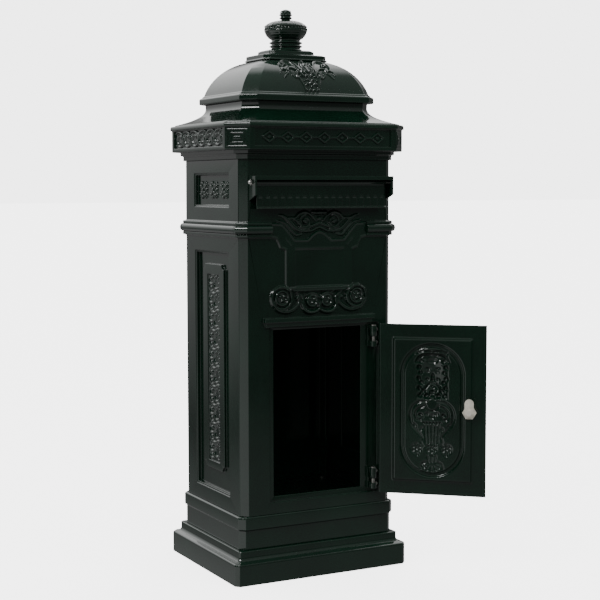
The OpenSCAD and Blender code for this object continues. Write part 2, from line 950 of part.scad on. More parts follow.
module door() {
    face = door_y - door_t;
    pan_y = door_y + pan_step;
    color(paint)
        on_door()
            difference() {
                union() {
                    upright(face, door_y)
                        translate([-door_w, door_z0])
                            square([2 * door_w, door_z1 - door_z0]);
                    upright(door_y - 1, pan_y)
                        rect(pan_w, door_cz - pan_h, door_cz + pan_h);
                    upright(face - 1.5, face + 5)
                        difference() {
                            stadium(0);
                            stadium(-7);
                        }
                    y_rod(lock_x, lock_z, 14, face - 1, pan_y + 0.5);
                    y_rod(0, 358, 24, face - 6, face + 6);
                    for (x = [-28, 0, 28])
                        y_rod(x, 225, 7.5, face - 1, face + 6);
                    y_rod(0, 285, 30, face - 1, face + 6);
                    for (z = hinge_z)
                        difference() {
                            union() {
                                translate([hinge_x, hinge_y, z - 8.5])
                                    cylinder(r = knuckle_r, h = 17);
                                block([door_w - 8, hinge_y - 1, z - 8.5],
                                    [hinge_x, hinge_y + 5.4, z + 8.5]);
                            }
                            translate([hinge_x, hinge_y, z - 10])
                                cylinder(r = hinge_r + run_fit, h = 20);
                        }
                }
                upright(face - 3, face + 7)
                    difference() {
                        rect(pan_w - 3.5, door_cz - pan_h + 3.5, door_cz + pan_h - 3.5);
                        stadium(0);
                        translate([lock_x, lock_z])
                            circle(r = 14);
                    }
                upright(face - 3, face + 7)
                    difference() {
                        stadium(-7);
                        translate([0, 358])
                            circle(r = 24);
                        translate([0, 285])
                            circle(r = 30);
                        for (x = [-28, 0, 28])
                            translate([x, 225])
                                circle(r = 7.5);
                        translate([lock_x, lock_z])
                            circle(r = 14);
                    }
                y_rod(0, 358, 19, face + 2, pan_y + 3);
                y_rod(lock_x, lock_z, 9.5 + screw_gap, -150, -100);
                y_rod(lock_x, lock_z, 12.5 + screw_gap, -150, face - 1);
            }
}

module hinge_bracket(z) {
    ear = (hinge_h - 18) / 2;
    difference() {
        union() {
            for (s = [-1, 1])
                translate([0, 0, z + s * (9 + ear / 2) - ear / 2]) {
                    translate([hinge_x, hinge_y, 0])
                        cylinder(r = knuckle_r, h = ear);
                    block([hinge_x - 3, hinge_y, 0], [hinge_x + knuckle_r, rebate_y - 1, ear]);
                }
            block([hinge_x - 8.5, rebate_y - 2.6, z - hinge_h / 2],
                [rebate_x1 - 1, rebate_y, z + hinge_h / 2]);
        }
        translate([hinge_x, hinge_y, z - 30])
            cylinder(r = hinge_r + run_fit, h = 60);
        for (dz = [-12, 12])
            y_rod(hinge_screw_x, z + dz, hinge_screw_r + screw_gap, -140, rebate_y + 3);
    }
}

module lower_hinge_bracket() {
    color(paint)
        hinge_bracket(hinge_z[0]);
}

module upper_hinge_bracket() {
    color(paint)
        hinge_bracket(hinge_z[1]);
}

module hinge_pin(z) {
    translate([hinge_x, hinge_y, z - hinge_h / 2])
        cylinder(r = hinge_r, h = hinge_h);
    translate([hinge_x, hinge_y, z + hinge_h / 2])
        cylinder(r = hinge_r + 1.4, h = 2);
}

module lower_hinge_pin() {
    color(steel)
        hinge_pin(hinge_z[0]);
}

module upper_hinge_pin() {
    color(steel)
        hinge_pin(hinge_z[1]);
}

/* ---- lock ---- */

module lock_barrel() {
    color(steel)
        on_door()
            difference() {
                union() {
                    y_rod(lock_x, lock_z, 12.5, -134, -130);
                    y_rod(lock_x, lock_z, 9.5, -131, -111.4);
                }
                y_rod(lock_x, lock_z, 6 + run_fit, -140, -100);
            }
}

module lock_plug() {
    color(steel)
        on_door()
            difference() {
                union() {
                    y_rod(lock_x, lock_z, 6, -134.4, -111.4);
                    block([lock_x - 3.5, -112, lock_z - 3.5], [lock_x + 3.5, -108.6, lock_z + 3.5]);
                }
                block([lock_x - 0.6, -140, lock_z - 4], [lock_x + 0.6, -126, lock_z + 4]);
                y_rod(lock_x, lock_z, 2, -118, -100);
            }
}

module lock_nut() {
    color(steel)
        on_door()
            difference() {
                translate([lock_x, -111.7, lock_z])
                    rotate([90, 0, 0])
                        cylinder(r = 12.7, h = 5.8, $fn = 6);
                y_rod(lock_x, lock_z, 9.5 + screw_gap, -130, -100);
            }
}

module lock_cam() {
    color(steel)
        on_door()
            difference() {
                union() {
                    y_rod(lock_x, lock_z, 8.2, -111.2, -108.8);
                    y_rod(lock_x, lock_z + 16.8, 8.2, -111.2, -108.8);
                    block([lock_x - 8.2, -111.2, lock_z], [lock_x + 8.2, -108.8, lock_z + 16.8]);
                }
                block([lock_x - 3.55, -120, lock_z - 3.55], [lock_x + 3.55, -100, lock_z + 3.55]);
            }
}

module lock_cam_screw() {
    color(steel)
        on_door() {
            y_rod(lock_x, lock_z, 5.2, -108.6, -106);
            y_rod(lock_x, lock_z, 2, -117, -108.5);
        }
}

/* ---- fasteners ---- */

module base_screws() {
    color(steel)
        four(136, 106)
            screw(plinth_h - 4, 7.5);
}

module floor_screws() {
    color(steel)
        four(131, 102)
            translate([0, 0, col_z0 + 2])
                mirror([0, 0, 1])
                    screw(0, 5.5);
}

// side and front screws of the corner brackets, heads inside
module panel_screws() {
    grip = wall + bracket_t - 1 + 0.05;
    color(steel)
        for (a = [0, 180])
            rotate(a) {
                bracket_screws_side()
                    bracket_screw(grip);
                bracket_screws_front()
                    bracket_screw(grip);
            }
}

module bracket_screw(grip) {
    translate([0, 0, 0.2])
        cylinder(r = screw_r, h = grip - 0.2 + eps);
    translate([0, 0, grip])
        cylinder(r = head_r, h = head_h);
}

module cornice_screws() {
    color(steel)
        for (x = [-141, 141])
            for (y = [-60, 60])
                translate([x, y, 0])
                    screw(col_z1 - 4, 7.5);
}

module neck_screws() {
    color(steel)
        four(138, 70)
            screw(cornice_z1 - 4, 7);
}

module roof_screws() {
    color(steel)
        four(116, 45)
            screw(eave_z - 4.5, 8);
}

module hinge_screws() {
    color(steel)
        for (z = hinge_z)
            for (dz = [-12, 12]) {
                y_rod(hinge_screw_x, z + dz, hinge_screw_r, rebate_y - 2.6 - eps, rebate_y + 2.5);
                y_rod(hinge_screw_x, z + dz, 3, rebate_y - 4.2, rebate_y - 2.6);
            }
}

module hood_screws() {
    color(steel)
        for (s = [-1, 1]) {
            y_rod(s * 126, 711, screw_r, -col_d - 2 - eps, -col_d + 2.8);
            y_rod(s * 126, 711, head_r, -col_d - 4, -col_d - 2);
        }
}

base_plinth();
base_collar();
floor_plate();
front_panel();
back_panel();
left_panel();
right_panel();
upper_corner_brackets();
lower_corner_brackets();
front_cartouche();
left_scroll_strip();
right_scroll_strip();
left_knots();
right_knots();
cornice();
front_fret();
back_fret();
left_guilloche();
right_guilloche();
roof_neck();
dome_roof();
front_swag();
back_swag();
finial_base();
finial_crown();
finial_bud();
finial_stud();
finial_washer();
finial_nut();
letter_hood();
letter_flap();
flap_pin();
flap_pin_nuts();
door();
upper_hinge_bracket();
lower_hinge_bracket();
upper_hinge_pin();
lower_hinge_pin();
lock_barrel();
lock_plug();
lock_nut();
lock_cam();
lock_cam_screw();
base_screws();
floor_screws();
panel_screws();
cornice_screws();
neck_screws();
roof_screws();
hinge_screws();
hood_screws();
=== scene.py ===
"""Looks of the pillar mailbox: cast relief, materials, studio and camera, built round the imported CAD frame.

Lengths in this file are millimetres until a mesh is made, which is where MM turns them into metres. The
studio at the end is in metres.
"""

import json
import math

import bmesh
import bpy
import numpy as np
from mathutils import Matrix, Vector


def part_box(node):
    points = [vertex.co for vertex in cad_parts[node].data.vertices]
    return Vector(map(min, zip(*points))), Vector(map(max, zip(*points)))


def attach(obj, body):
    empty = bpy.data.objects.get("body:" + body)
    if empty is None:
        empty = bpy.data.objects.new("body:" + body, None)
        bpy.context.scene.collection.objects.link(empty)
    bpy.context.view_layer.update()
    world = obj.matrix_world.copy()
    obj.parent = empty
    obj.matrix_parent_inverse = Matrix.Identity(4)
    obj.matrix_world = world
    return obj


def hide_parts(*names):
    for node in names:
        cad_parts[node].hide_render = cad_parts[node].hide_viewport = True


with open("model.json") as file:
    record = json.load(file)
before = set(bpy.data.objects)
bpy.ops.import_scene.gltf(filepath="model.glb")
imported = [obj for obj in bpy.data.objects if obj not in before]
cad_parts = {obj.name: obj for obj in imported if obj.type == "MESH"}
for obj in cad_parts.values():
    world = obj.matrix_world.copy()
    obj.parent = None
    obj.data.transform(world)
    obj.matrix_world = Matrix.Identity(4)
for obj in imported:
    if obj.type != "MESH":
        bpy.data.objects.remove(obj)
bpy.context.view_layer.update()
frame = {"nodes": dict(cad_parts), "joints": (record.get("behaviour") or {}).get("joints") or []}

MM = 0.001
joints = {j["name"]: j for j in frame["joints"]}
DOOR_OPEN = -joints["door_hinge"]["range_deg"][0]
HINGE = Vector(joints["door_hinge"]["pos_m"]) / MM
FLAP_AXIS = Vector(joints["flap_hinge"]["pos_m"]) / MM


def node_box(name):
    """Lowest and highest corner of a CAD node, in millimetres."""
    low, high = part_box(name)
    return low / MM, high / MM


# ---------------------------------------------------------------- materials

PEEL_DEPTH = BRUSH_DEPTH = 0.00005  # metres, as the bump nodes take it


def node_adder(tree):
    """A function that adds a node to a tree. Its inputs are given as values or as sockets to link."""
    def add(kind, inputs=None, **props):
        node = tree.nodes.new(kind)
        for key, value in props.items():
            setattr(node, key, value)
        for key, value in (inputs or {}).items():
            if isinstance(value, bpy.types.NodeSocket):
                tree.links.new(value, node.inputs[key])
            else:
                node.inputs[key].default_value = value
        return node

    return add


def new_material(name):
    """A material with its node tree, its Principled shader and a function that adds nodes."""
    material = bpy.data.materials.new(name)
    material.use_nodes = True
    tree = material.node_tree
    return material, tree, tree.nodes["Principled BSDF"], node_adder(tree)


def noise(add, coords, scale, detail=3.0, roughness=0.5):
    """Noise at a number of cells per metre."""
    node = add("ShaderNodeTexNoise", {"Vector": coords, "Scale": scale, "Detail": detail,
                                      "Roughness": roughness})
    return node.outputs["Fac"]


def ramp(add, value, *stops):
    """Colour ramp with stops given as (position, colour)."""
    node = add("ShaderNodeValToRGB", {"Fac": value})
    elements = node.color_ramp.elements
    while len(elements) < len(stops):
        elements.new(0.5)
    for element, (position, colour) in zip(elements, stops):
        element.position = position
        element.color = (*colour, 1)
    return node.outputs["Color"]


def mix(add, factor, a, b):
    """Goes from colour a to colour b with a factor. Each colour is a value or a socket."""
    node = add("ShaderNodeMix", data_type="RGBA")
    tree = node.id_data
    for socket, value in (("Factor_Float", factor), ("A_Color", a), ("B_Color", b)):
        target = next(s for s in node.inputs if s.identifier == socket)
        if isinstance(value, bpy.types.NodeSocket):
            tree.links.new(value, target)
        else:
            target.default_value = (*value, 1)
    return next(s for s in node.outputs if s.identifier == "Result_Color")


def paint_material(name, tone, rough):
    """Gloss paint on cast metal: orange peel over low waves, soft mottling and rubbed edges."""
    material, tree, shader, add = new_material(name)
    coords = add("ShaderNodeTexCoord").outputs["Object"]
    mottle = noise(add, coords, 9.0, 4.0, 0.6)
    fine = noise(add, coords, 160.0, 3.0, 0.6)
    point = add("ShaderNodeNewGeometry").outputs["Pointiness"]
    dark = tuple(c * 0.72 for c in tone)
    light = tuple(c * 1.25 for c in tone)
    worn = tuple(c * 2.2 + 0.01 for c in tone)
    base = ramp(add, mottle, (0.3, dark), (0.7, light))
    edge = ramp(add, point, (0.52, (0, 0, 0)), (0.62, (0.35, 0.35, 0.35)))
    base = mix(add, edge, base, worn)
    tree.links.new(base, shader.inputs["Base Color"])
    spread = add("ShaderNodeMapRange", {"Value": fine, "From Min": 0.3, "From Max": 0.7,
                                        "To Min": rough * 0.75, "To Max": rough * 1.5})
    tree.links.new(spread.outputs["Result"], shader.inputs["Roughness"])
    peel_noise = noise(add, coords, 420.0, 2.0, 0.5)
    wave = noise(add, coords, 30.0, 2.0, 0.5)
    low = add("ShaderNodeBump", {"Height": wave, "Strength": 0.16, "Distance": 0.0005})
    high = add("ShaderNodeBump", {"Height": peel_noise, "Strength": 0.3, "Distance": PEEL_DEPTH,
                                  "Normal": low.outputs["Normal"]})
    tree.links.new(high.outputs["Normal"], shader.inputs["Normal"])
    shader.inputs["IOR"].default_value = 1.5
    shader.inputs["Specular IOR Level"].default_value = 0.5
    shader.inputs["Coat Weight"].default_value = 0.6
    shader.inputs["Coat Roughness"].default_value = 0.05
    return material


def metal_material(name, colour, rough, grain, stretch=(1, 1, 1), metallic=1.0):
    """Bare or plated metal with fine brushing and small dull spots."""
    material, tree, shader, add = new_material(name)
    coords = add("ShaderNodeTexCoord").outputs["Object"]
    scaled = add("ShaderNodeMapping", {"Vector": coords, "Scale": stretch}).outputs["Vector"]
    brush = noise(add, scaled, grain, 4.0, 0.7)
    spots = noise(add, coords, 140.0, 3.0, 0.6)
    base = ramp(add, spots, (0.35, tuple(c * 0.75 for c in colour)), (0.65, colour))
    tree.links.new(base, shader.inputs["Base Color"])
    spread = add("ShaderNodeMapRange", {"Value": brush, "To Min": rough * 0.6, "To Max": rough * 1.5})
    tree.links.new(spread.outputs["Result"], shader.inputs["Roughness"])
    bump = add("ShaderNodeBump", {"Height": brush, "Strength": 0.25, "Distance": BRUSH_DEPTH})
    tree.links.new(bump.outputs["Normal"], shader.inputs["Normal"])
    shader.inputs["Metallic"].default_value = metallic
    return material


PAINT = paint_material("cast_gloss_paint", (0.0032, 0.0165, 0.0090), 0.12)
SHEET = paint_material("sheet_paint", (0.0036, 0.0140, 0.0080), 0.3)
ZINC = metal_material("zinc_plate", (0.62, 0.62, 0.58), 0.38, 900.0)
NICKEL = metal_material("nickel_plate", (0.92, 0.88, 0.76), 0.36, 1200.0, (1, 1, 6), metallic=0.1)
STAINLESS = metal_material("stainless", (0.78, 0.77, 0.74), 0.16, 1500.0)


# ---------------------------------------------------------------- meshes

SHARP_FROM = 50  # degrees between two faces from which the edge is shaded sharp
ROUND_FROM = 28  # degrees between two faces from which the edge is rounded


def make_piece(name, verts, faces, material, body, replaced=()):
    """A new piece from vertices in millimetres, riding on a body and standing for CAD nodes."""
    mesh = bpy.data.meshes.new(name)
    verts = np.asarray(verts, float) * MM
    if isinstance(faces, np.ndarray):
        mesh.vertices.add(len(verts))
        mesh.vertices.foreach_set("co", verts.astype(np.float32).ravel())
        mesh.loops.add(faces.size)
        mesh.loops.foreach_set("vertex_index", faces.ravel().astype(np.int32))
        mesh.polygons.add(len(faces))
        mesh.polygons.foreach_set("loop_start", np.arange(0, faces.size, faces.shape[1], dtype=np.int32))
        mesh.update(calc_edges=True)
        mesh.validate()
    else:
        mesh.from_pydata([tuple(v) for v in verts], [], faces)
    mesh.polygons.foreach_set("use_smooth", [True] * len(mesh.polygons))
    return add_piece(name, mesh, material, body, replaced)


def add_piece(name, mesh, material, body, replaced=()):
    """Puts a mesh in the scene with its material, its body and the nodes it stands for."""
    mesh.materials.append(material)
    piece = bpy.data.objects.new(name, mesh)
    bpy.context.scene.collection.objects.link(piece)
    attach(piece, body)
    if replaced:
        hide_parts(*replaced)
    return piece


def mark_sharp(bm):
    """Smooth faces, with sharp edges where two of them meet at a steep angle."""
    limit = math.radians(SHARP_FROM)
    for face in bm.faces:
        face.smooth = True
    for edge in bm.edges:
        edge.smooth = not (len(edge.link_faces) == 2 and edge.calc_face_angle(0) > limit)


def soften_node(node, body, material, width, clamp=True):
    """Stands for a CAD node with the same solid, its edges rounded as a casting's are."""
    bm = bmesh.new()
    bm.from_mesh(frame["nodes"][node].data)
    bmesh.ops.remove_doubles(bm, verts=bm.verts, dist=0.00002)
    bmesh.ops.recalc_face_normals(bm, faces=bm.faces)
    bmesh.ops.join_triangles(bm, faces=bm.faces, angle_face_threshold=math.radians(0.5),
                             angle_shape_threshold=math.radians(80))
    limit = math.radians(ROUND_FROM)
    edges = [e for e in bm.edges if len(e.link_faces) == 2 and e.calc_face_angle(0) > limit]
    bmesh.ops.bevel(bm, geom=edges, offset=width * MM, offset_type="OFFSET", segments=2,
                    profile=0.5, affect="EDGES", clamp_overlap=clamp, miter_outer="ARC")
    bmesh.ops.triangulate(bm, faces=[f for f in bm.faces if len(f.verts) > 4])
    mark_sharp(bm)
    mesh = bpy.data.meshes.new(node + "_cast")
    bm.to_mesh(mesh)
    bm.free()
    piece = add_piece(node + "_cast", mesh, material, body, [node])
    flat = piece.modifiers.new("flat_faces", "WEIGHTED_NORMAL")
    flat.keep_sharp = True
    flat.weight = 100
    return piece


# ---------------------------------------------------------------- relief drawing

class Relief:
    """Heights in millimetres over a rectangle of the plane, into which ornament is drawn."""

    def __init__(self, u0, u1, v0, v1, step):
        self.u = np.linspace(u0, u1, max(2, round((u1 - u0) / step) + 1))
        self.v = np.linspace(v0, v1, max(2, round((v1 - v0) / step) + 1))
        self.base = np.zeros((len(self.v), len(self.u)))
        self.top = np.zeros_like(self.base)

    def window(self, u0, u1, v0, v1):
        """The part of the grid inside a rectangle: its slices and its coordinates."""
        i0, i1 = np.searchsorted(self.v, [v0, v1])
        j0, j1 = np.searchsorted(self.u, [u0, u1])
        uu, vv = np.meshgrid(self.u[j0:j1], self.v[i0:i1])
        return (slice(i0, i1), slice(j0, j1)), uu, vv

    def lift(self, area, heights):
        self.top[area] = np.maximum(self.top[area], heights)

    def stroke(self, path, width, height, form="round"):
        """A band along a path. width and height are one number or several, spread evenly along it."""
        path = np.asarray(path, float)
        n = len(path)
        along = np.linspace(0, 1, n)
        widths, heights = (np.interp(along, np.linspace(0, 1, np.size(size)), np.atleast_1d(size))
                           for size in (width, height))
        for k in range(n - 1):
            a, b = path[k], path[k + 1]
            reach = max(widths[k], widths[k + 1])
            area, uu, vv = self.window(min(a[0], b[0]) - reach, max(a[0], b[0]) + reach,
                                       min(a[1], b[1]) - reach, max(a[1], b[1]) + reach)
            if uu.size == 0:
                continue
            d = b - a
            t = np.clip(((uu - a[0]) * d[0] + (vv - a[1]) * d[1]) / max(d @ d, 1e-9), 0, 1)
            gap = np.hypot(uu - a[0] - t * d[0], vv - a[1] - t * d[1])
            q = gap / np.maximum(widths[k] * (1 - t) + widths[k + 1] * t, 1e-6)
            self.lift(area, (heights[k] * (1 - t) + heights[k + 1] * t) * profile(q, form))

    def curve(self, points, width, height, form="round"):
        """A band along a smooth curve through a few points."""
        self.stroke(smooth_path(points), width, height, form)

    def boss(self, u, v, ru, rv, height, turn=0.0):
        """An oval lump, turned by an angle in degrees."""
        reach = max(ru, rv)
        area, uu, vv = self.window(u - reach, u + reach, v - reach, v + reach)
        c, s = math.cos(math.radians(turn)), math.sin(math.radians(turn))
        x, y = (uu - u) * c + (vv - v) * s, -(uu - u) * s + (vv - v) * c
        self.lift(area, height * profile(np.hypot(x / ru, y / rv), "round"))

    def ring(self, u, v, radius, width, height):
        turn = np.linspace(0, 2 * math.pi, 49)
        self.stroke(np.stack([u + radius * np.cos(turn), v + radius * np.sin(turn)], 1), width, height)

    def step(self, inside, height, soft=0.7):
        """Raises or sinks the base where the signed distance inside is positive."""
        self.base += height * np.clip(inside / soft + 0.5, 0, 1)

    def grid(self):
        return np.meshgrid(self.u, self.v)

    def heights(self, blur):
        """All that was drawn, blurred over some millimetres as a casting's edges are."""
        total = self.base + self.top
        pitch = self.u[1] - self.u[0]
        sigma = blur / pitch
        reach = max(1, int(math.ceil(2.5 * sigma)))
        kernel = np.exp(-0.5 * (np.arange(-reach, reach + 1) / max(sigma, 1e-6)) ** 2)
        kernel /= kernel.sum()
        for axis in (0, 1):
            pad = [(reach, reach) if a == axis else (0, 0) for a in (0, 1)]
            wide = np.pad(total, pad, mode="edge")
            total = sum(w * np.take(wide, range(k, k + total.shape[axis]), axis=axis)
                        for k, w in enumerate(kernel))
        return total


def profile(q, form):
    """Cross-section of a band: q runs from 0 on its line to 1 at its edge."""
    inside = np.clip(1 - q * q, 0, None)
    if form == "round":
        return np.sqrt(inside)
    if form == "flat":
        return np.clip((1 - q) * 3.5, 0, 1)
    if form == "grooved":
        return np.sqrt(inside) * (1 - 0.38 * np.exp(-(q / 0.2) ** 2))
    if form == "leaf":
        return inside * (0.72 + 0.28 * np.cos(q * 9.0))
    raise ValueError(form)


def rect_inside(uu, vv, u0, u1, v0, v1):
    """Distance inside a rectangle, negative outside."""
    return np.minimum(np.minimum(uu - u0, u1 - uu), np.minimum(vv - v0, v1 - vv))


def stadium_inside(uu, vv, half_w, half_h, cv):
    """Distance inside an upright oval with straight sides."""
    y = np.maximum(np.abs(vv - cv) - (half_h - half_w), 0)
    return half_w - np.hypot(uu, y)


def smooth_path(points, per=10):
    """Catmull-Rom curve through a few points."""
    p = np.asarray(points, float)
    p = np.vstack([2 * p[0] - p[1], p, 2 * p[-1] - p[-2]])
    t = np.linspace(0, 1, per, endpoint=False)[:, None]
    parts = []
    for a, b, c, d in zip(p[:-3], p[1:-2], p[2:-1], p[3:]):
        parts.append(0.5 * (2 * b + (c - a) * t + (2 * a - 5 * b + 4 * c - d) * t ** 2
                            + (3 * b - a - 3 * c + d) * t ** 3))
    return np.vstack(parts + [p[-2][None]])


def spiral(u, v, r0, r1, start, turns, flip):
    """Points of a volute from radius r0 to r1, starting at an angle in degrees."""
    t = np.linspace(0, 1, 60)
    angle = math.radians(start) + flip * t * turns * 2 * math.pi
    r = r0 + (r1 - r0) * t
    return np.stack([u + r * np.cos(angle), v + r * np.sin(angle)], 1)


def volute(relief, u, v, r, height, flip):
    """A scroll end: a coiled band and a centre boss."""
    relief.stroke(spiral(u, v, r * 0.86, r * 0.36, 90, 1.2, flip), (r * 0.2, r * 0.13),
                  (height, height * 0.85), "grooved")
    relief.boss(u, v, r * 0.3, r * 0.3, height * 1.25)


def relief_piece(name, relief, place, depth, body, replaced=(), keep=None, blur=0.6, shell=False):
    """A closed painted solid whose front carries the heights. place maps (u, v, height) to three arrays.

    keep is a height: where the relief is lower, nothing is made, which leaves separate islands.
    shell makes the back follow the front, as in a thin casting.
    """
    heights = relief.heights(blur)
    uu, vv = relief.grid()
    rows, cols = heights.shape
    front = np.stack(place(uu, vv, heights), -1).reshape(-1, 3)
    under = heights - depth if shell else np.full_like(heights, -depth)
    back = np.stack(place(uu, vv, under), -1).reshape(-1, 3)
    index = np.arange(rows * cols).reshape(rows, cols)
    used = np.ones((rows - 1, cols - 1), bool)
    if keep is not None:
        high = heights > keep
        used = high[:-1, :-1] | high[1:, :-1] | high[:-1, 1:] | high[1:, 1:]
    a, b = index[:-1, :-1][used], index[:-1, 1:][used]
    c, d = index[1:, 1:][used], index[1:, :-1][used]
    total = rows * cols
    quads = [np.stack([a, b, c, d], 1), np.stack([a, d, c, b], 1) + total]
    padded = np.pad(used, 1)
    sides = ((padded[:-2, 1:-1], index[:-1, :-1], index[:-1, 1:]),
             (padded[2:, 1:-1], index[1:, 1:], index[1:, :-1]),
             (padded[1:-1, :-2], index[1:, :-1], index[:-1, :-1]),
             (padded[1:-1, 2:], index[:-1, 1:], index[1:, 1:]))
    for neighbour, first, second in sides:
        rim = used & ~neighbour
        p, q = first[rim], second[rim]
        quads.append(np.stack([q, p, p + total, q + total], 1))
    faces = np.vstack(quads)
    kept, faces = np.unique(faces, return_inverse=True)
    verts = np.vstack([front, back])[kept]
    faces = faces.reshape(-1, 4)
    p = verts[np.vstack([faces[:, :3], faces[:, [0, 2, 3]]])]
    if np.einsum("ij,ij->", p[:, 0], np.cross(p[:, 1], p[:, 2])) < 0:
        faces = faces[:, ::-1].copy()
    return make_piece(name, verts, faces, PAINT, body, replaced)


# ---------------------------------------------------------------- where reliefs go

def front_at(y):
    """Plane facing the front, heights growing toward -Y."""
    return lambda u, v, h: (u, -(y + h), v)


def back_at(y):
    """Plane facing the back, heights growing toward +Y."""
    return lambda u, v, h: (-u, y + h, v)


def side_at(x, sign):
    """Plane on the right (sign 1) or left (-1), u running toward the back."""
    return lambda u, v, h: (sign * (x + h), u, v)


def inner_face(node, axis):
    """How far the inner face of a CAD ornament stands from the middle along an axis."""
    low, high = node_box(node)
    return min(abs(low[axis]), abs(high[axis]))


def door_open(verts):
    """Points of the shut door, turned about the hinge to where it stands open."""
    p = np.asarray(verts, float) - np.asarray(HINGE)
    c, s = math.cos(math.radians(DOOR_OPEN)), math.sin(math.radians(DOOR_OPEN))
    out = np.stack([c * p[:, 0] - s * p[:, 1], s * p[:, 0] + c * p[:, 1], p[:, 2]], 1)
    return out + np.asarray(HINGE)


def lathe(profile_points, around, radius_at):
    """Closed body of revolution about Z. radius_at changes the radius at each height and angle."""
    pts = np.asarray(profile_points, float)
    angle = np.linspace(0, 2 * math.pi, around, endpoint=False)
    rows = len(pts)
    rr = np.repeat(pts[:, :1], around, 1)
    zz = np.repeat(pts[:, 1:], around, 1)
    aa = np.repeat(angle[None], rows, 0)
    rr = radius_at(rr, zz, aa)
    verts = np.stack([rr * np.cos(aa), rr * np.sin(aa), zz], -1).reshape(-1, 3)
    low, high = len(verts), len(verts) + 1
    verts = np.vstack([verts, [0, 0, pts[0, 1]], [0, 0, pts[-1, 1]]])
    faces = []
    for i in range(rows - 1):
        for j in range(around):
            k = (j + 1) % around
            faces.append((i * around + j, i * around + k, (i + 1) * around + k, (i + 1) * around + j))
    for j in range(around):
        k = (j + 1) % around
        faces.append((low, k, j))
        faces.append((high, (rows - 1) * around + j, (rows - 1) * around + k))
    return verts, faces


# ---------------------------------------------------------------- ornament

def draw_guilloche(r, mid):
    """Running scroll of the side fascia, mirrored about its middle."""
    for side in (-1, 1):
        for k in range(3):
            c = 10 + 34.5 * k
            def at(points):
                return [(side * (c + x), mid + z) for x, z in points]
            r.curve(at([(25, 11), (17, 14), (6, 13.5), (-4, 10), (-9, 3)]), (1.5, 3.4), 3.0, "grooved")
            r.curve(at([(-9, 3), (-9, -5), (-3, -11), (6, -13), (14, -10), (18, -3)]),
                     (3.0, 2.0), 2.8, "grooved")
            r.curve(at([(18, -3), (15, 3), (8, 7), (1, 6)]), (2.0, 1.4), 2.4)
            r.boss(side * c, mid + 4.5, 4.2, 3.2, 3.5, side * 12)
            r.boss(side * (c + 3), mid - 6.5, 4.4, 3.0, 3.4, -side * 10)
            r.boss(side * (c + 20), mid + 2, 2.0, 5.0, 2.4, side * 35)
            r.boss(side * (c + 22), mid - 10, 3.4, 2.0, 2.4)
            r.boss(side * (c + 13), mid + 9, 2.4, 1.6, 2.6)
    r.boss(0, mid + 9, 3.2, 4.0, 2.6)
    r.boss(0, mid - 9, 3.2, 4.0, 2.6)


def draw_fret(r, half, mid):
    """Plain row of lozenges linked by bars."""
    count = 7
    wide, high = 12.5, 9.0
    bar, rise = 1.7, 2.6
    pitch = 2 * half / count
    for k in range(count):
        c = -half + pitch * (k + 0.5)
        loop = [(c - wide, mid), (c, mid + high), (c + wide, mid), (c, mid - high), (c - wide, mid)]
        r.stroke(loop, bar, rise, "flat")
        r.boss(c, mid, 4.0, 3.0, 2.4)
        if k < count - 1:
            r.stroke([(c + wide, mid), (c + pitch - wide, mid)], bar, rise, "flat")


def draw_strip(r, z0, z1, repeats):
    """Upright running scroll of the side panels."""
    pitch = (z1 - z0) / repeats
    for k in range(repeats):
        z = z0 + pitch * (k + 1)
        def at(points):
            return [(x, z + dz) for x, dz in points]
        r.curve(at([(-22, 2), (-16, 3.5), (-8, 0.5), (0, -2), (9, 0), (17, 6), (22, 12)]),
                 (2.2, 4.2, 3.0), (2.2, 2.5, 1.8), "grooved")
        r.curve(at([(-14, -3), (-6, -6), (1, -13), (0, -21), (-7, -26), (-15, -25)]),
                 (2.0, 3.0, 1.6), 2.3, "grooved")
        r.curve(at([(20, -2), (22, -9), (19, -16), (11, -18), (3, -15)]), (1.6, 2.6, 1.6), 2.0)
        r.curve(at([(21, -20), (20, -27), (13, -31), (5, -29)]), (1.4, 2.4, 1.4), 2.0)
        r.boss(11, z - 8, 5.0, 2.8, 2.5, 14)
        r.boss(10, z - 24, 5.2, 2.9, 2.5, 14)
        r.boss(-20, z - 8, 3.6, 4.2, 2.1, 20)
        r.boss(-21, z - 17, 3.8, 3.0, 1.9)
        r.boss(-17, z - 31, 4.6, 2.0, 2.1, 12)
        r.boss(-5, z - 13, 2.6, 2.0, 1.8)


def draw_knot(r, c, mid):
    """Two interlaced bands with a row of bumps above and below."""
    for side in (-1, 1):
        r.curve([(c - 12, mid + side * 8), (c - 6, mid + side * 9), (c, mid + side * 1.5),
                              (c + 6, mid - side * 7), (c + 12, mid - side * 7.5)], 2.6, 4.6, "grooved")
        r.curve([(c - 12, mid - side * 1), (c - 7, mid + side * 3), (c - 1, mid + side * 11),
                              (c + 6, mid + side * 13), (c + 11, mid + side * 8)], 1.9, 3.6)
        for x in (-9, 8):
            r.boss(c + x, mid + side * 12.5, 4.4, 2.6, 4.0, -side * 15)
            r.boss(c + x * 0.9, mid + side * 4.0, 3.6, 2.6, 4.8)
    r.boss(c, mid, 4.2, 3.2, 5.4)


